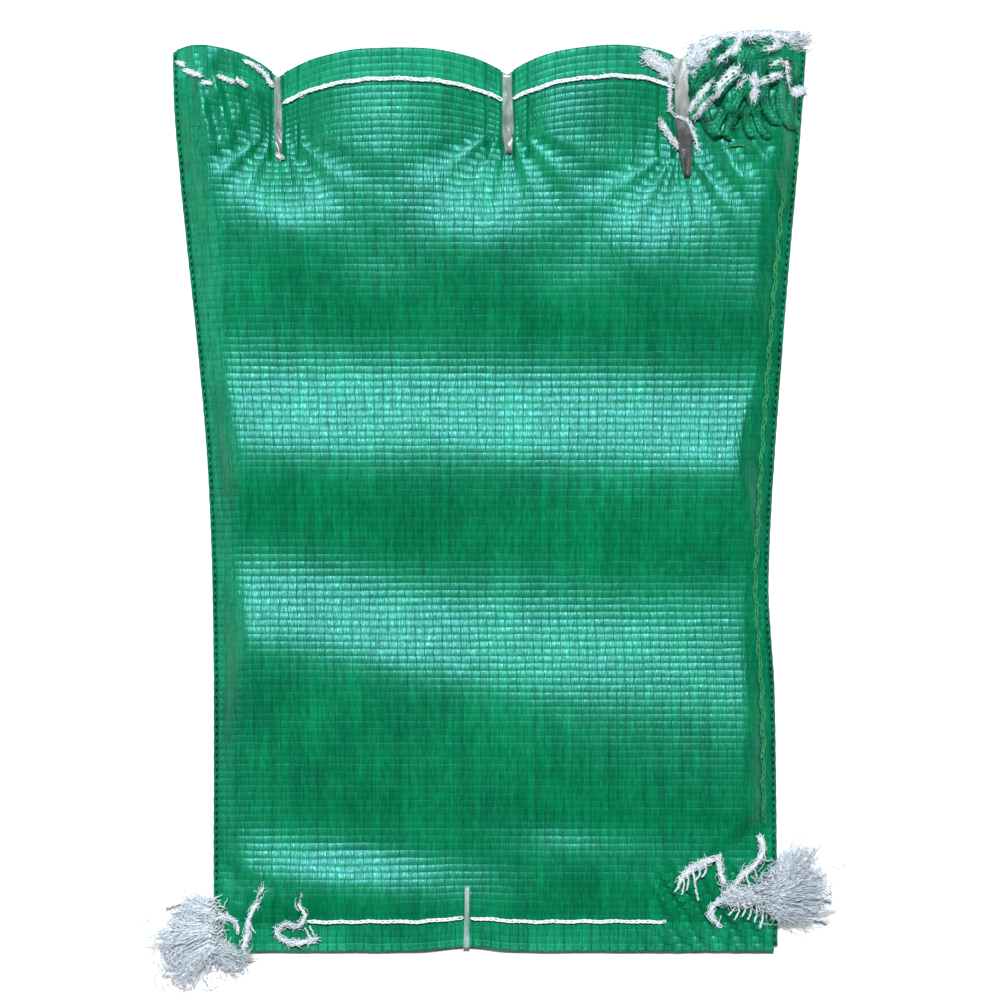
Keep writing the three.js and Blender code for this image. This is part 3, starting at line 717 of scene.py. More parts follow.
def noise_between(nodes, links, scale, low, high, stretch=(1, 1, 1)):
    """Noise in object space whose value goes smoothly from `low` to `high`, which are numbers or colours."""
    place = nodes.new("ShaderNodeTexCoord")
    mapping = nodes.new("ShaderNodeMapping")
    noise = nodes.new("ShaderNodeTexNoise")
    ramp_node = nodes.new("ShaderNodeValToRGB")
    set_inputs(mapping, Scale=stretch)
    set_inputs(noise, Scale=scale, Detail=3.0)
    for element, position, value in zip(ramp_node.color_ramp.elements, (0.34, 0.66), (low, high)):
        element.position = position
        element.color = (*value, 1) if isinstance(value, tuple) else (value, value, value, 1)
    links.new(place.outputs["Object"], mapping.inputs["Vector"])
    links.new(mapping.outputs["Vector"], noise.inputs["Vector"])
    links.new(noise.outputs["Fac"], ramp_node.inputs["Fac"])
    return ramp_node.outputs["Color"]


def multiplied(nodes, links, first, second):
    mix = nodes.new("ShaderNodeMix")
    mix.data_type = "RGBA"
    mix.blend_type = "MULTIPLY"
    mix.inputs["Factor"].default_value = 1
    links.new(first, mix.inputs[6])
    links.new(second, mix.inputs[7])
    return mix.outputs[2]


def add_bump(nodes, links, shader, height, strength, distance):
    bump_node = nodes.new("ShaderNodeBump")
    set_inputs(bump_node, Strength=strength, Distance=distance)
    links.new(height, bump_node.inputs["Height"])
    links.new(bump_node.outputs["Normal"], shader.inputs["Normal"])


def floor_material():
    material, nodes, links, shader = new_material("floor")
    tone = noise_between(nodes, links, 40, (0.86, 0.86, 0.85), (0.9, 0.9, 0.9))
    links.new(tone, shader.inputs["Base Color"])
    set_inputs(shader, Roughness=0.7)
    return material


def tape_material(name, dark, light, roughness=(0.28, 0.4), patches=24):
    """Glossy polythene tape: slow changes of tone, fine streaks along the bag, and a little bump."""
    material, nodes, links, shader = new_material(name)
    tone = noise_between(nodes, links, patches, dark, light)
    streak = noise_between(nodes, links, 120, 0.72, 1.14, stretch=(7, 0.9, 1))
    column = noise_between(nodes, links, 60, 0.8, 1.08, stretch=(3, 0.15, 1))
    both = multiplied(nodes, links, column, streak)
    links.new(multiplied(nodes, links, tone, both), shader.inputs["Base Color"])
    links.new(noise_between(nodes, links, 160, *roughness, stretch=(4, 1, 1)), shader.inputs["Roughness"])
    set_inputs(shader, Specular_Tint=(0.24, 0.84, 1.0, 1), Specular_IOR_Level=0.56)
    add_bump(nodes, links, shader, streak, 0.7, 0.0005)
    return material


def thread_material(name, dark, light, sheen):
    """Fluffy spun thread."""
    material, nodes, links, shader = new_material(name)
    links.new(noise_between(nodes, links, 350, dark, light), shader.inputs["Base Color"])
    links.new(noise_between(nodes, links, 500, 0.6, 0.85), shader.inputs["Roughness"])
    set_inputs(shader, Sheen_Weight=sheen, Sheen_Roughness=0.5)
    add_bump(nodes, links, shader, noise_between(nodes, links, 1800, 0.0, 1.0), 0.5, 0.0002)
    return material


def film_material(name, low, high, painted_shade_from, painted_shade_to, roughness=(0.2, 0.4)):
    """Thin clear film, grey-green where it creases, with painted shade: its colour darkens between two values
    of y in the row frame, standing in for the shadow where the strap goes down through the mesh.
    """
    material, nodes, links, shader = new_material(name)
    crease = noise_between(nodes, links, 160, low, high, stretch=(1.6, 0.5, 1))
    place = nodes.new("ShaderNodeTexCoord")
    separate = nodes.new("ShaderNodeSeparateXYZ")
    # Painted shade: the colour falls to 9% of itself between the two values of y, towards where the strap
    # passes into the mesh.
    painted_shade = nodes.new("ShaderNodeMapRange")
    set_inputs(painted_shade, From_Min=painted_shade_to, From_Max=painted_shade_from, To_Min=0.09, To_Max=1.0)
    links.new(place.outputs["Object"], separate.inputs["Vector"])
    links.new(separate.outputs["Y"], painted_shade.inputs["Value"])
    links.new(multiplied(nodes, links, crease, painted_shade.outputs["Result"]), shader.inputs["Base Color"])
    links.new(noise_between(nodes, links, 200, *roughness), shader.inputs["Roughness"])
    set_inputs(shader, Alpha=0.78)
    return material


# Cords and thread


def ground_height(x, y):
    """What a cord lies on: the front mesh inside the bag's outline, and the floor outside it."""
    inside = np.min([x - left_edge(y), right_edge(y) - x, y - bottom_edge(x), mouth_edge(x) - y], axis=0)
    return ramp(inside, -8, 0) * front_height(x, np.maximum(y, bottom_edge(x)))


def distances(points):
    """How far along a line each of its points lies."""
    return np.concatenate([[0], np.cumsum(np.linalg.norm(np.diff(points, axis=0), axis=1))])


def smooth_line(points, step):
    """Points about `step` apart on a smooth curve through the given ones."""
    points = np.array(points, float)
    along = distances(points)
    at = np.linspace(0, along[-1], max(4, int(round(along[-1] / step)) + 1))
    return np.stack([between(np.stack([along, points[:, axis]], axis=1), at) for axis in range(3)], axis=-1)


def flat_line(route, step):
    """A smooth line at height 0 through [x, y] points."""
    return smooth_line([(*point, 0) for point in route], step)


def cord_line(name):
    diameter, route = CORDS[name]
    x, y, clear = np.array(route, float).T
    return smooth_line(np.stack([x, y, ground_height(x, y) + clear + diameter / 2], axis=1), 1.0)


def chain(line, seed, pitch, width, thread, loose=0.0):
    """Linked loops of a chain stitch along a line of points. `loose` from 0 to 1 makes them uneven."""
    local = np.random.default_rng(seed)
    along = distances(line)
    count = max(2, int(round(along[-1] / pitch)))
    pitch = along[-1] / count
    at = (np.arange(count) + 0.5) * pitch
    behind, centre, ahead = [
        np.stack([np.interp(at + shift, along, line[:, axis]) for axis in range(3)], axis=1)
        for shift in (-0.5, 0, 0.5)
    ]
    tangent = unit(ahead - behind)
    side = unit(np.cross(UP, tangent))
    up = np.cross(tangent, side)
    size = 1 + loose * local.uniform(-0.35, 0.35, (count, 1))
    lean = loose * local.uniform(-0.5, 0.5, (count, 1))
    theta = np.arange(14) * TURN / 14
    forward = -np.cos(theta)[None, :] * 0.8 * pitch * size
    across = np.sin(theta) * (0.62 - 0.38 * np.cos(theta)) * width / 2 * size + lean * forward * 0.6
    height = thread * (0.5 * bump(forward / pitch, -0.2, 0.35) - 0.2)
    loops = (
        centre[:, None, :]
        + forward[..., None] * tangent[:, None, :]
        + across[..., None] * side[:, None, :]
        + height[..., None] * up[:, None, :]
    )
    return tube(loops, thread / 2, 6, closed=True, flat=0.85)


def fibre_lines(start, end, spread, lift, count, seed, wave=2.4):
    """Wavy fibres from round one point to round another: `spread` is how far their ends scatter."""
    local = np.random.default_rng(seed)
    start, end = np.array(start, float), np.array(end, float)
    t = np.linspace(0, 1, 9)[None, :, None]
    begin = start + local.normal(0, 1, (count, 1, 3)) * np.array([1.2, 1.2, 0.3])
    reach = local.uniform(0.45, 1.05, (count, 1, 1))
    scatter = local.normal(0, 1, (count, 1, 3)) * np.array([spread, spread, 0.4])
    finish = start + (end - start) * reach + scatter
    line = begin + (finish - begin) * t
    phase = local.uniform(0, TURN, (count, 1, 2))
    turns = local.uniform(0.6, 2.2, (count, 1, 2))
    sway = np.sin(phase + turns * TURN * t) * local.uniform(0.3, 1, (count, 1, 2)) * wave * np.sqrt(t)
    line[..., :2] += sway
    line[..., 2] += local.uniform(0, lift, (count, 1)) * np.sin(math.pi * t[..., 0]) ** 0.7
    line[..., 2] = np.maximum(line[..., 2], 0.4)
    return line


def matted(route, width, count, seed, ground, reach, rise, mess=0.5):
    """Short wavy fibres matted along a route of [x, y] points; `ground` gives the height at x and y."""
    local = np.random.default_rng(seed)
    line = flat_line(route, 0.5)[:, :2]
    heading = unit(np.gradient(line, axis=0))
    at = local.integers(0, len(line), count)
    middle = line[at] + local.normal(0, width / 4, (count, 2))
    turn = np.arctan2(heading[at, 1], heading[at, 0]) + local.normal(0, mess, count)
    length = reach * local.uniform(0.5, 1.2, count)
    bend = local.normal(0, 0.18, count)
    level = rise * local.uniform(0.1, 1, count)
    t = np.linspace(-0.5, 0.5, 7)[None, :]
    forward = length[:, None] * t
    aside = (bend * length)[:, None] * (4 * t**2 - 0.5) + 0.35 * np.sin(forward * 2.1 + 5 * turn[:, None])
    x = middle[:, :1] + forward * np.cos(turn)[:, None] - aside * np.sin(turn)[:, None]
    y = middle[:, 1:] + forward * np.sin(turn)[:, None] + aside * np.cos(turn)[:, None]
    fibres = np.stack([x, y, ground(x, y) + 0.3 + level[:, None] * (1 - 2 * t**2)], axis=-1)
    return tube(fibres, FIBRE, 3)


def bundle(line, radius, count, thread, seed):
    """Fibres that run along a line and twist round it."""
    local = np.random.default_rng(seed)
    t = np.linspace(0, 1, len(line))
    phase = local.uniform(0, TURN, (count, 1))
    turn = phase + local.uniform(1.5, 4, (count, 1)) * TURN * t
    far = radius * np.sqrt(local.uniform(0.1, 1, (count, 1))) * (0.75 + 0.25 * np.sin(turn * 1.7 + phase))
    tangent = unit(np.gradient(line, axis=0))
    side = unit(np.cross(tangent, UP))
    up = np.cross(side, tangent)
    centre = line + (far * np.cos(turn))[..., None] * side + (far * np.sin(turn) * 0.7)[..., None] * up
    centre[..., 2] = np.maximum(centre[..., 2], 0.5)
    return tube(centre, thread / 2, 4)


def add_piece(piece, nodes=(), body="bag", bend=None):
    """Attaches a piece to the empty of the body it moves with, or, given a bend, bakes its transform into its
    mesh and attaches it to none; hides the CAD nodes it stands for.
    """
    if bend:
        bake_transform(piece)
    else:
        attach(piece, body)
    if nodes:
        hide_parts(*nodes)


def add_cord(piece, name, others=()):
    add_piece(piece, [name])
    for other in others:
        add_piece(other)


def teeth(name, seed):
    """A tail's bent hanging strands."""
    strands = []
    for index, ((x0, y0), (x1, y1)) in enumerate(TEETH.get(name, [])):
        x = np.array([x0, x0 + 0.15 * (x1 - x0) + 1.2, x1])
        y = np.array([y0, (y0 + y1) / 2, y1])
        tooth = np.stack([x, y, ground_height(x, y) + np.array([3.0, 1.6, 0.9])], axis=1)
        strands.append(bundle(smooth_line(tooth, 1.0), 0.8, 8, 0.42, seed + index))
    return strands


def mats(name, seed):
    """The matted parts of a cord."""
    return [
        matted(route, width, count, seed + index, ground_height, 9, rise, 0.9)
        for index, (route, width, count, rise) in enumerate(MATS.get(name, []))
    ]


def fans(name, seed):
    """The fanned-out fibres of a bundle."""
    parts = []
    for index, (start, end, spread, lift, count) in enumerate(FANS[name]):
        lines = fibre_lines(start, end, spread, lift, count, seed + index)
        taper = np.linspace(1, 0.5, lines.shape[1])[None, :]
        parts.append(tube(lines, FIBRE * taper, 3))
    return parts


def add_tail(name, index):
    """A kinked chain-stitch tail with frayed fibres."""
    diameter, _ = CORDS[name]
    line = cord_line(name)
    loops = chain(line, 40 + index, 3.4, 0.75 * diameter, 0.6, 1.0)
    core = bundle(line, diameter * 0.24, 5, 0.5, 60 + index)
    count = 3 * len(line)
    fray = matted(line[::6, :2], diameter * 1.25, count, 400 + index, ground_height, 9, 3.2, 0.42)
    piece = strand_object(f"{name}_chain", [loops], white_thread, closed=True)
    parts = [core, fray, *teeth(name, 430), *mats(name, 460 + 10 * index)]
    add_cord(piece, name, [strand_object(f"{name}_fuzz", parts, white_thread)])


def add_loose_end(name, index):
    diameter, _ = CORDS[name]
    line = cord_line(name)
    strands = bundle(line, diameter * 0.4, 4, 0.7, 60 + index)
    add_cord(strand_object(f"{name}_strand", [strands], green_thread), name)


def add_tuft(name, index):
    """A bundle of cut thread ends."""
    diameter, _ = CORDS[name]
    line = cord_line(name)
    ends = bundle(line, diameter * 0.42, 26, 0.55, 60 + index)
    piece = strand_object(f"{name}_bundle", [ends], white_thread)
    seed = 300 + 10 * index
    parts = mats(name, seed + 5) + fans(name, seed)
    add_cord(piece, name, [strand_object(f"{name}_fibres", parts, white_thread)])


def add_cords():
    makers = {"tail": add_tail, "loose": add_loose_end}
    for index, name in enumerate(CORDS):
        makers.get(name.split("_")[0], add_tuft)(name, index)


# The woven pieces


def turn_lines(surface, under, s):
    """Half circles from an edge of one layer round to the layer under it, and their outward directions."""
    level = np.full_like(s, MOUTH_LEVEL)
    top, _, row, _ = frames(surface, s, level)
    below = under(s, level)
    middle = (top + below) / 2
    half = (top - below) / 2
    outward = unit(row * np.array([1, 1, 0.2])) * np.linalg.norm(half, axis=-1, keepdims=True) * 0.9
    angle = np.linspace(0, math.pi, 6)[None, :, None]
    out = half[:, None, :] * np.cos(angle) + outward[:, None, :] * np.sin(angle)
    return middle[:, None, :] + out, unit(out)


def mouth_turn(surface, under, x_from=-math.inf, x_to=math.inf):
    """The turned mouth edge: warps going round it, and two tapes along it."""
    line, normal = turn_lines(surface, under, warp_columns(x_from, x_to, MOUTH_LEVEL))
    warps = flat_strands(line, (1, 0, 0), normal, TURN_WARP)
    low = np.maximum(share(x_from, MOUTH_LEVEL), FOLD_INSET)
    high = np.minimum(share(x_to, MOUTH_LEVEL), 1 - FOLD_INSET)
    s = np.linspace(low, high, max(4, int((high - low) * WARPS * 3)))
    line, normal = turn_lines(surface, under, s)
    places = [
        ((line[:, 1] + line[:, 2]) / 2, unit(normal[:, 1] + normal[:, 2])),
        (line[:, 4], normal[:, 4]),
    ]
    half = 0.75 - 0.2 * pinch(s)[:, None]
    tapes = []
    for middle, out in places:
        run = np.cross(out, np.array([1.0, 0, 0]))
        sides = [middle - run * half, middle + out * 0.2, middle + run * half, middle - out * 0.1]
        tapes.append(np.stack(sides, axis=1))
    return [warps, np.stack(tapes)]


def lobe_bend(lobe, x_from, x_to, kind):
    """How one strip of a middle lobe bends: along y in its own cloth, and along x beside a strap."""
    name = f"{lobe}_lobe"
    level = FRONT_LEVEL / MM
    if kind == "middle":
        middle = (x_from + x_to) / 2
        low, high = [metres((middle, LIFT_LINE + shift, level)) for shift in (-BEND_HALF, BEND_HALF)]
        return name, low, high
    start, end = (x_from, x_to) if kind == "left" else (x_to, x_from)
    return name, metres((start, BEND_LEVEL, level)), metres((end, BEND_LEVEL, level))


def mouth_strips():
    """Each stretch of the mouth: name, x limits, how it bends, and the CAD names that it stands for."""
    straps = [at for at, _ in STRAPS.values()]
    stretches = []
    for index, lobe in enumerate(LOBES):
        left = None if index == 0 else straps[index - 1] + STRAP_SIDE
        right = None if index == len(straps) else straps[index] - STRAP_SIDE
        name = lobe["name"]
        if left is None or right is None:
            stretches.append((name, left, right, None, [name]))
            continue
        inner = (left + STRETCH, right - STRETCH)
        stretches.append((name, *inner, lobe_bend(name, *inner, "middle"), [name]))
        for kind, start, end in (("left", left, inner[0]), ("right", inner[1], right)):
            stretches.append((f"{name}_{kind}", start, end, lobe_bend(name, start, end, kind), []))
    return stretches


def add_front():
    for name, low, high in FRONT_BANDS:
        tapes = weft_part(front_surface, row_range(low, high), None, None)
        piece = strand_object(f"front_wefts_{name}", [tapes], hem_tape if name == "hem" else mesh_tape)
        add_piece(piece, ["front_panel"] if name == "lower" else [])
    columns = warp_columns(None, None, 0.0)
    over = warp_part(front_surface, columns, WARP_START, LIFT_LINE)
    under = warp_part(front_surface, columns, WARP_START, LIFT_LINE, over=False, per_row=2)
    add_piece(strand_object("front_warps_over", [over], mesh_warp))
    add_piece(strand_object("front_warps_under", [under], mesh_warp))


def front_hem(x_from, x_to):
    """The turned-in layer under a stretch of the front's mouth."""
    return cloth(front_hem_surface, x_from, x_to, HEM_END, MOUTH_LEVEL, side=-1, fine=False)


def add_mouth():
    for name, x_from, x_to, bend, nodes in mouth_strips():
        parts = cloth(front_surface, x_from, x_to, LIFT_LINE, HEM_LEVEL)
        lobe = strand_object(f"lobe_{name}_cloth", parts, mesh_tape)
        add_piece(lobe, [f"lobe_{node}" for node in nodes], bend=bend)
        parts = cloth(front_surface, x_from, x_to, HEM_LEVEL, MOUTH_LEVEL) + front_hem(x_from, x_to)
        limits = (-math.inf if x_from is None else x_from, math.inf if x_to is None else x_to)
        parts += mouth_turn(front_surface, front_hem_surface, *limits)
        hem = strand_object(f"hem_{name}_cloth", parts, hem_tape)
        add_piece(hem, [f"hem_{node}" for node in nodes], bend=bend)
    for name, (at, _) in STRAPS.items():
        x_from, x_to = at - STRAP_SIDE, at + STRAP_SIDE
        parts = cloth(front_surface, x_from, x_to, LIFT_LINE, MOUTH_LEVEL) + front_hem(x_from, x_to)
        add_piece(strand_object(f"gather_{name}_cloth", parts, mesh_tape), [f"gather_{name}"])


def add_back():
    tapes = weft_part(back_surface, row_range(BOTTOM, MOUTH_LEVEL), None, None, side=-1, fine=False)
    add_piece(strand_object("back_wefts", [tapes], mesh_tape), ["back_panel"])
    columns = warp_columns(None, None, 0.0)
    over = warp_part(back_surface, columns, WARP_START, MOUTH_LEVEL, side=-1, per_row=2)
    under = warp_part(back_surface, columns, WARP_START, MOUTH_LEVEL, side=-1, over=False, per_row=1)
    add_piece(strand_object("back_warps", [over, under], mesh_warp))
    limits = (float(left_edge(HEM_LEVEL)) + HEM_INSET, float(right_edge(HEM_LEVEL)) - HEM_INSET)
    hem = cloth(turn_in_surface, *limits, HEM_END, MOUTH_LEVEL, fine=False)
    turn = mouth_turn(turn_in_surface, back_surface, *limits)
    add_piece(strand_object("hem_back_cloth", hem + turn, hem_tape), ["hem_back"])


def fold_middle(s, v):
    x, y = lay(s, v)
    return np.stack([x, y, np.full_like(x, FOLD_RADIUS)], axis=-1)


def fold_arcs(s, v, heading, radius):
    """Lines round a folded edge from the front to the back, and their outward directions."""
    angle = np.linspace(math.pi / 2, -math.pi / 2, 9)[None, :, None]
    circle = np.cos(angle) * np.array([*heading, 0.0]) + np.sin(angle) * UP
    line = fold_middle(s, v) + radius * circle
    return line, np.broadcast_to(circle, line.shape)


def add_side_fold(side, s, outward, radius):
    """A side fold's arcs of tape, with selvage strands along it."""
    v = row_range(FOLD_START, MOUTH_LEVEL)[:, None]
    line, out = fold_arcs(np.full_like(v, s), v, (outward, 0.0), radius)
    tapes = flat_strands(line, (0, outward, 0), out, SIDE_TAPE)
    v = np.linspace(FOLD_START, MOUTH_LEVEL - 1, 3 * ROWS)[None, :]
    middle = fold_middle(np.full_like(v, s), v)
    strands = []
    for turn, phase in SELVAGE:
        place = (turn + 0.25 * np.cos(v * math.pi / ROW_PITCH + phase))[..., None]
        out = outward * np.cos(place) * np.array([1.0, 0, 0]) + np.sin(place) * UP
        strands.append(middle + (radius + 0.35) * out)
    selvage = tube(np.concatenate(strands), 0.4, 5)
    add_piece(strand_object(f"{side}_fold_cloth", [tapes, selvage], mesh_warp), [f"{side}_fold"])


def add_bottom_fold(radius):
    """Warps that go round the bottom edge, with two tapes along it."""
    s = warp_columns(None, None, BOTTOM)[:, None]
    line, out = fold_arcs(s, np.full_like(s, BOTTOM_FOLD_LEVEL), (0.0, -1.0), radius + 0.3)
    parts = [flat_strands(line, (1, 0, 0), out, BOTTOM_WARP)]
    s = np.linspace(FOLD_INSET, 1 - FOLD_INSET, 3 * WARPS)[None, :]
    half = (1.5 - 0.3 * pinch(s))[..., None]
    for tilt in (0.65, -0.65):
        out = np.array([0, -math.cos(tilt), math.sin(tilt)])
        run = np.array([0, math.sin(tilt), math.cos(tilt)])
        middle = fold_middle(s, np.full_like(s, BOTTOM_FOLD_LEVEL)) + radius * out
        sides = [middle - run * half, middle - out * 0.1, middle + run * half, middle + out * 0.25]
        parts.append(np.stack(sides, axis=2))
    add_piece(strand_object("bottom_fold_cloth", parts, mesh_tape), ["bottom_fold"])


def add_folds():
    radius = FOLD_RADIUS - MESH / 2
    add_side_fold("left", FOLD_INSET, -1, radius)
    add_side_fold("right", 1 - FOLD_INSET, 1, radius)
    add_bottom_fold(radius)
    turn_in = cloth(turn_in_surface, *TURN_IN, fine=False)
    add_piece(strand_object("bottom_turn_in_cloth", turn_in, hem_tape), ["bottom_turn_in"])


# Seams


def seam_line(x_from, x_to, surface, v, clear):
    """A line along a row coordinate of a surface, a little clear of it."""
    x = np.linspace(x_from, x_to, max(4, int(abs(x_to - x_from) / 1.5)))
    level = np.full_like(x, v)
    points = surface(share(x, level), level)
    points[:, 2] += clear
    points[:, 1] += 0.25 * np.cos(x * 0.31) + 0.2 * np.cos(x * 0.083)
    return points


def add_seam(name, kind, lines, seed, material, nodes, bend=None):
    loops = [chain(line, seed + index, *STITCHES[kind]) for index, line in enumerate(lines)]
    piece = strand_object(f"seam_{name}_chain", loops, material, closed=True)
    add_piece(piece, [f"seam_{node}" for node in nodes], bend=bend)


def add_lobe_seams():
    for index, (name, x_from, x_to, bend, nodes) in enumerate(mouth_strips()):
        if "corner" in name:
            continue
        start = x_from + (0.5 if name.endswith("_left") else 0)
        line = seam_line(start, x_to, front_surface, HEM_LEVEL, MESH / 2 + 0.9)
        add_seam(name, "lobe", [line], 80 + index, white_thread, nodes, bend)
        fuzz = matted(line[::4, :2], 1.8, 2 * len(line), 500 + index, outer_face, 4, 1.4)
        add_piece(strand_object(f"seam_{name}_fuzz", [fuzz], white_thread), bend=bend)


def add_left_corner_seam():
    """The seam at the crumpled corner, which shows only here and there."""
    lines, fuzz = [], []
    for index, dash in enumerate(CORNER_DASHES):
        line = flat_line(dash, 1.0)
        fuzz.append(matted(dash, 2.0, 9 * len(line), 520 + index, outer_face, 4, 1.4))
        lines.append(on_front(line[:, 0], line[:, 1]) + 0.6 * UP)
    add_seam("left_corner", "left_corner", lines, 100, white_thread, ["left_corner"])
    add_piece(strand_object("seam_left_corner_fuzz", fuzz, white_thread))


def add_seams():
    add_lobe_seams()
    add_left_corner_seam()
    strap = BOTTOM_STRAP[0]
    lines = [
        seam_line(x_from, x_to, front_surface, BOTTOM + SEAM_DEPTH, MESH / 2 + 0.8)
        for x_from, x_to in ((BOTTOM_SEAM[0], strap - 3.5), (strap + 3.5, BOTTOM_SEAM[1]))
    ]
    add_seam("bottom", "bottom", lines, 110, white_thread, ["bottom"])
    limits = (float(left_edge(HEM_LEVEL)) + SEAM_END, float(right_edge(HEM_LEVEL)) - SEAM_END)
    line = seam_line(*limits, turn_in_surface, HEM_LEVEL, 0.9)
    add_seam("back", "back", [line], 120, white_thread, ["back"])
    y = np.linspace(*SIDE_SEAM, 400)
    line = on_front(right_edge(y) - SIDE_SEAM_INSET + 0.6 * np.cos(y * 0.35), y) + 0.9 * UP
    add_seam("side", "side", [line], 130, green_thread, ["side"])


# Film straps


def strap_line(at, through, edge, outward, slant):
    """The closed line of a strap: over the front, round the edge, under the back and up through the mesh."""
    over = np.linspace(through, edge, 28)
    top = on_front(at + slant * (over - edge) / (through - edge), over) + STRAP_CLEAR * UP
    angle = np.linspace(0, math.pi, 9)[1:-1]
    round_y = edge + outward * 1.2 * np.sin(angle)
    round_z = STRAP_FLOOR + (top[-1, 2] - STRAP_FLOOR) * (1 + np.cos(angle)) / 2
    under = np.linspace(edge, through, 12)
    under_x = at + slant * (under - edge) / (through - edge)
    rise = np.linspace(STRAP_FLOOR, top[0, 2], 8)[1:-1]
    return np.concatenate([
        top,
        np.stack([np.full_like(angle, at), round_y, round_z], axis=-1),
        np.stack([under_x, under, np.full_like(under, STRAP_FLOOR)], axis=-1),
        np.stack([np.full_like(rise, at + slant), np.full_like(rise, through), rise], axis=-1),
    ])


def crinkles(steps, u, seed):
    """The film's creases: how far it stands off its line at each step and share of its width."""
    local = np.random.default_rng(seed)
    height = 0.5 * (2 * u) ** 2
    for _ in range(5):
        turn, phase = local.uniform(0.3, 1.1), local.uniform(0, TURN)
        lean = local.uniform(-9, 9)
        height = height + 0.16 * np.cos(np.arange(steps)[:, None] * turn + u * lean + phase)
    return height


def add_strap(name, at, widths, through, edge, outward, slant, material):
    line = strap_line(at, through, edge, outward, slant)
    tangent = unit(np.roll(line, -1, axis=0) - np.roll(line, 1, axis=0))
    normal = unit(np.cross(np.array([outward * 1.0, 0, 0]), tangent))
    across = np.cross(tangent, normal)
    from_edge = np.clip((line[:, 1] - edge) / (through - edge), 0, 1)
    width = np.interp(from_edge, np.linspace(0, 1, len(widths)), widths)[:, None]
    u = np.linspace(0.5, -0.5, 9)[None, :]
    height = crinkles(len(line), u, int(140 + abs(at)))
    top = np.stack([u * width, height + FILM / 2], axis=-1)
    bottom = np.stack([(u * width)[:, ::-1], height[:, ::-1] - FILM / 2], axis=-1)
    section = np.concatenate([top, bottom], axis=1)
    points = strips(line[None], across[None], normal[None], section[None])
    points[..., 2] = np.maximum(points[..., 2], 0.05)
    add_piece(strand_object(f"strap_{name}_film", [points], material, closed=True), [f"strap_{name}"])


def add_straps():
    shapes = {  # widths from the edge to the lower end, slant and film
        "left": ((4, 4.5, 5, 5.5, 3), 1.0, clear_film),
        "middle": ((6, 6.5, 7, 8, 4), 1.0, clear_film),
        "right": ((9, 8.5, 10, 11, 10, 8, 4), 5.0, painted_shade_film),
    }
    for name, (at, reach) in STRAPS.items():
        widths, slant, film = shapes[name]
        edge = edge_at(mouth_edge, at)
        add_strap(name, at, widths, edge - reach, edge, 1, slant, film)
    at, reach = BOTTOM_STRAP
    edge = edge_at(bottom_edge, at)
    add_strap("bottom", at, (4, 3.5, 3, 3), edge + reach, edge, -1, 0.5, bottom_film)


# The bunched corner


def petal_rise(x, y):
    """How far the bunched folds stand above the mesh; fine pleats run along each of them."""
    rise = 0
    pleat, pitch = PETAL_PLEAT
    for at_x, at_y, angle, length, width, height in PETALS:
        turn = math.radians(angle)
        along = (x - at_x) * math.cos(turn) + (y - at_y) * math.sin(turn)
        across = -(x - at_x) * math.sin(turn) + (y - at_y) * math.cos(turn) + PETAL_CURVE * along**2
        inside = np.clip(1 - (2 * along / length) ** 2, 0, 1) * np.clip(1 - (2 * across / width) ** 2, 0, 1)
        rise = np.maximum(rise, height * np.sqrt(inside) * (1 + pleat * np.cos(across * TURN / pitch + at_x)))
    return rise


def bunch_surface(s, v):
    """The bunched cloth: it stands up in folds and dips under the front mesh beside them."""
    x = BUNCH_LEFT + (BUNCH_RIGHT - BUNCH_LEFT) * s * WARPS / BUNCH_CELLS
    y = BUNCH_LOW + (BUNCH_HIGH - BUNCH_LOW) * v / (BUNCH_ROWS * ROW_PITCH)
    x, y = x + 1.3 * ripple(x, y, 11, 51), y + 1.3 * ripple(x, y, 11, 52)
    y = np.minimum(y, mouth_edge(x) - 1)
    rise = petal_rise(x, y)
    return np.stack([x, y, outer_face(x, y) - 2.2 + ramp(rise, 0, 1.6) * 2.9 + rise], axis=-1)


def cluster_ground(x, y):
    return outer_face(x, y) + petal_rise(x, y)


def cluster_mats(table, seed, reach, rise):
    return [
        matted(route, width, count, seed + index, cluster_ground, reach, rise)
        for index, (route, width, count) in enumerate(table)
    ]


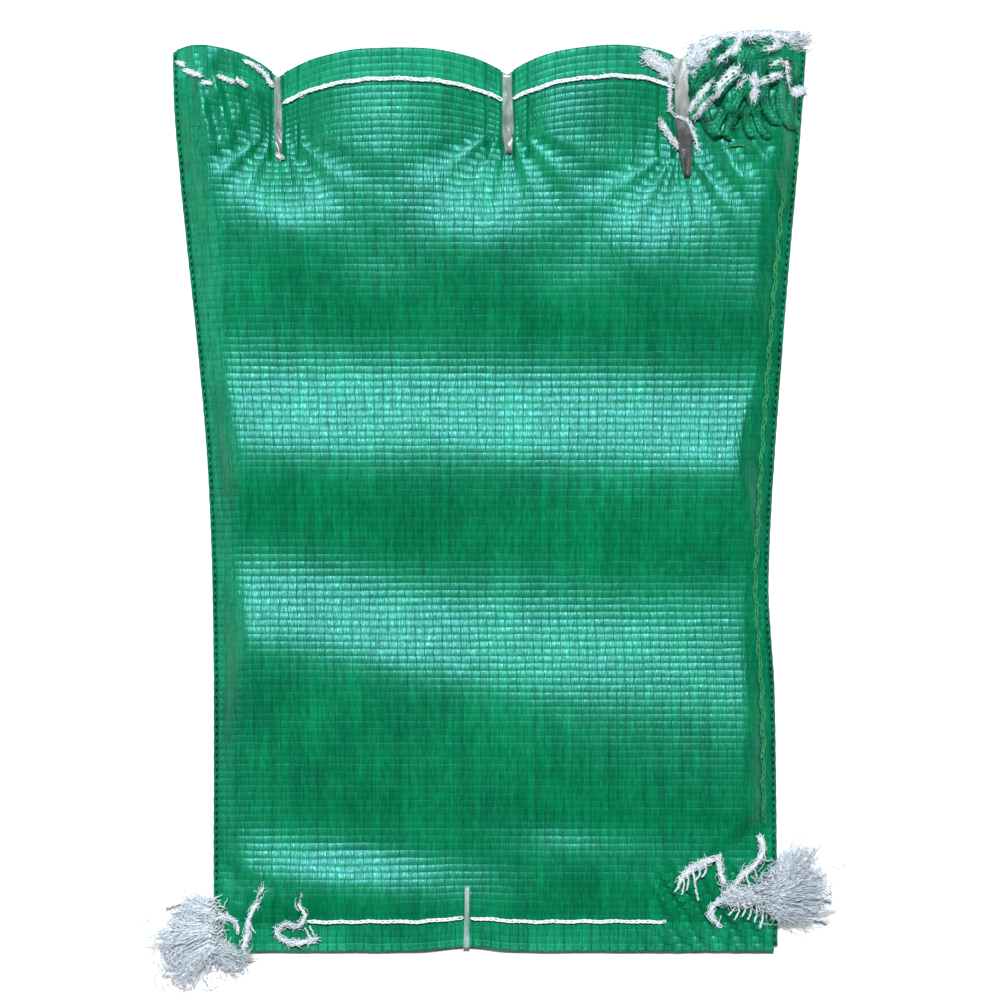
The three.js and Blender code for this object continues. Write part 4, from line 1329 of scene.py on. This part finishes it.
def add_corner():
    s = np.linspace(0.5, BUNCH_CELLS - 0.5, 4 * BUNCH_CELLS)[None, :] / WARPS
    v = (np.arange(BUNCH_ROWS) + 0.5)[:, None] * ROW_PITCH
    wefts = weft_points(bunch_surface, *np.broadcast_arrays(s, v), 1, True)
    s = (np.arange(BUNCH_CELLS) + 0.5)[:, None] / WARPS
    v = np.linspace(0.5, BUNCH_ROWS - 0.5, 3 * BUNCH_ROWS)[None, :] * ROW_PITCH
    warps = warp_points(bunch_surface, *np.broadcast_arrays(s, v), 1, True)
    add_piece(strand_object("corner_wefts", [wefts], corner_tape_painted_shade), ["corner_gather"])
    add_piece(strand_object("corner_warps", [warps], corner_tape_painted_shade))
    fluff = cluster_mats(CLUSTER_FLUFF, 160, 6, 1.3)
    add_piece(strand_object("seam_right_corner_fluff", fluff, white_thread), ["seam_right_corner"])
    threads = cluster_mats(STRAP_THREADS, 220, 5, 2.4)
    add_piece(strand_object("strap_threads", threads, white_thread))


def add_seam_end():
    """The frayed thread at the end of the right middle lobe's seam."""
    bends = {name: bend for name, _, _, bend, _ in mouth_strips()}
    fluff = matted(*SEAM_END_FLUFF, 260, outer_face, 6, 1.8)
    piece = strand_object("seam_right_middle_fluff", [fluff], white_thread)
    add_piece(piece, bend=bends["right_middle_right"])


bpy.context.scene.view_settings.view_transform = "Standard"
add_camera()
for lamp_name, (lamp_place, lamp_size, lamp_power) in LAMPS.items():
    add_lamp(lamp_name, lamp_place, lamp_size, lamp_power)
add_world()
add_floor()

mesh_tape = tape_material("mesh_tape", (0.0005, 0.15, 0.058), (0.001, 0.205, 0.08))
# Tape of the bunched corner: random patches of its green, whose very dark end is painted shade standing in
# for the shadow deep in the folds.
corner_tape_painted_shade = tape_material("corner_tape_painted_shade", (0.001, 0.07, 0.025), (0.012, 0.3, 0.13), (0.3, 0.5), 90)
mesh_warp = tape_material("mesh_warp", (0.0005, 0.13, 0.05), (0.001, 0.2, 0.078), (0.4, 0.6))
hem_tape = tape_material("hem_tape", (0.002, 0.19, 0.08), (0.008, 0.29, 0.135))
white_thread = thread_material("white_thread", (0.6, 0.7, 0.77), (0.8, 0.87, 0.95), 0.2)
green_thread = thread_material("green_thread", (0.005, 0.17, 0.06), (0.015, 0.27, 0.1), 0.0)
# The last two numbers of each film give the y span, in metres, over which it is painted darker as shade
# towards its strap's lower end.
clear_film = film_material("clear_film", (0.16, 0.24, 0.23), (0.42, 0.5, 0.48), 0.262, 0.21)
bottom_film = film_material("bottom_film", (0.2, 0.33, 0.32), (0.42, 0.56, 0.55), -0.31, -0.4)
painted_shade_film = film_material("painted_shade_film", (0.24, 0.28, 0.27), (0.55, 0.58, 0.56), 0.275, 0.238, (0.5, 0.7))

add_cords()
add_front()
add_mouth()
add_back()
add_folds()
add_seams()
add_straps()
add_corner()
add_seam_end()
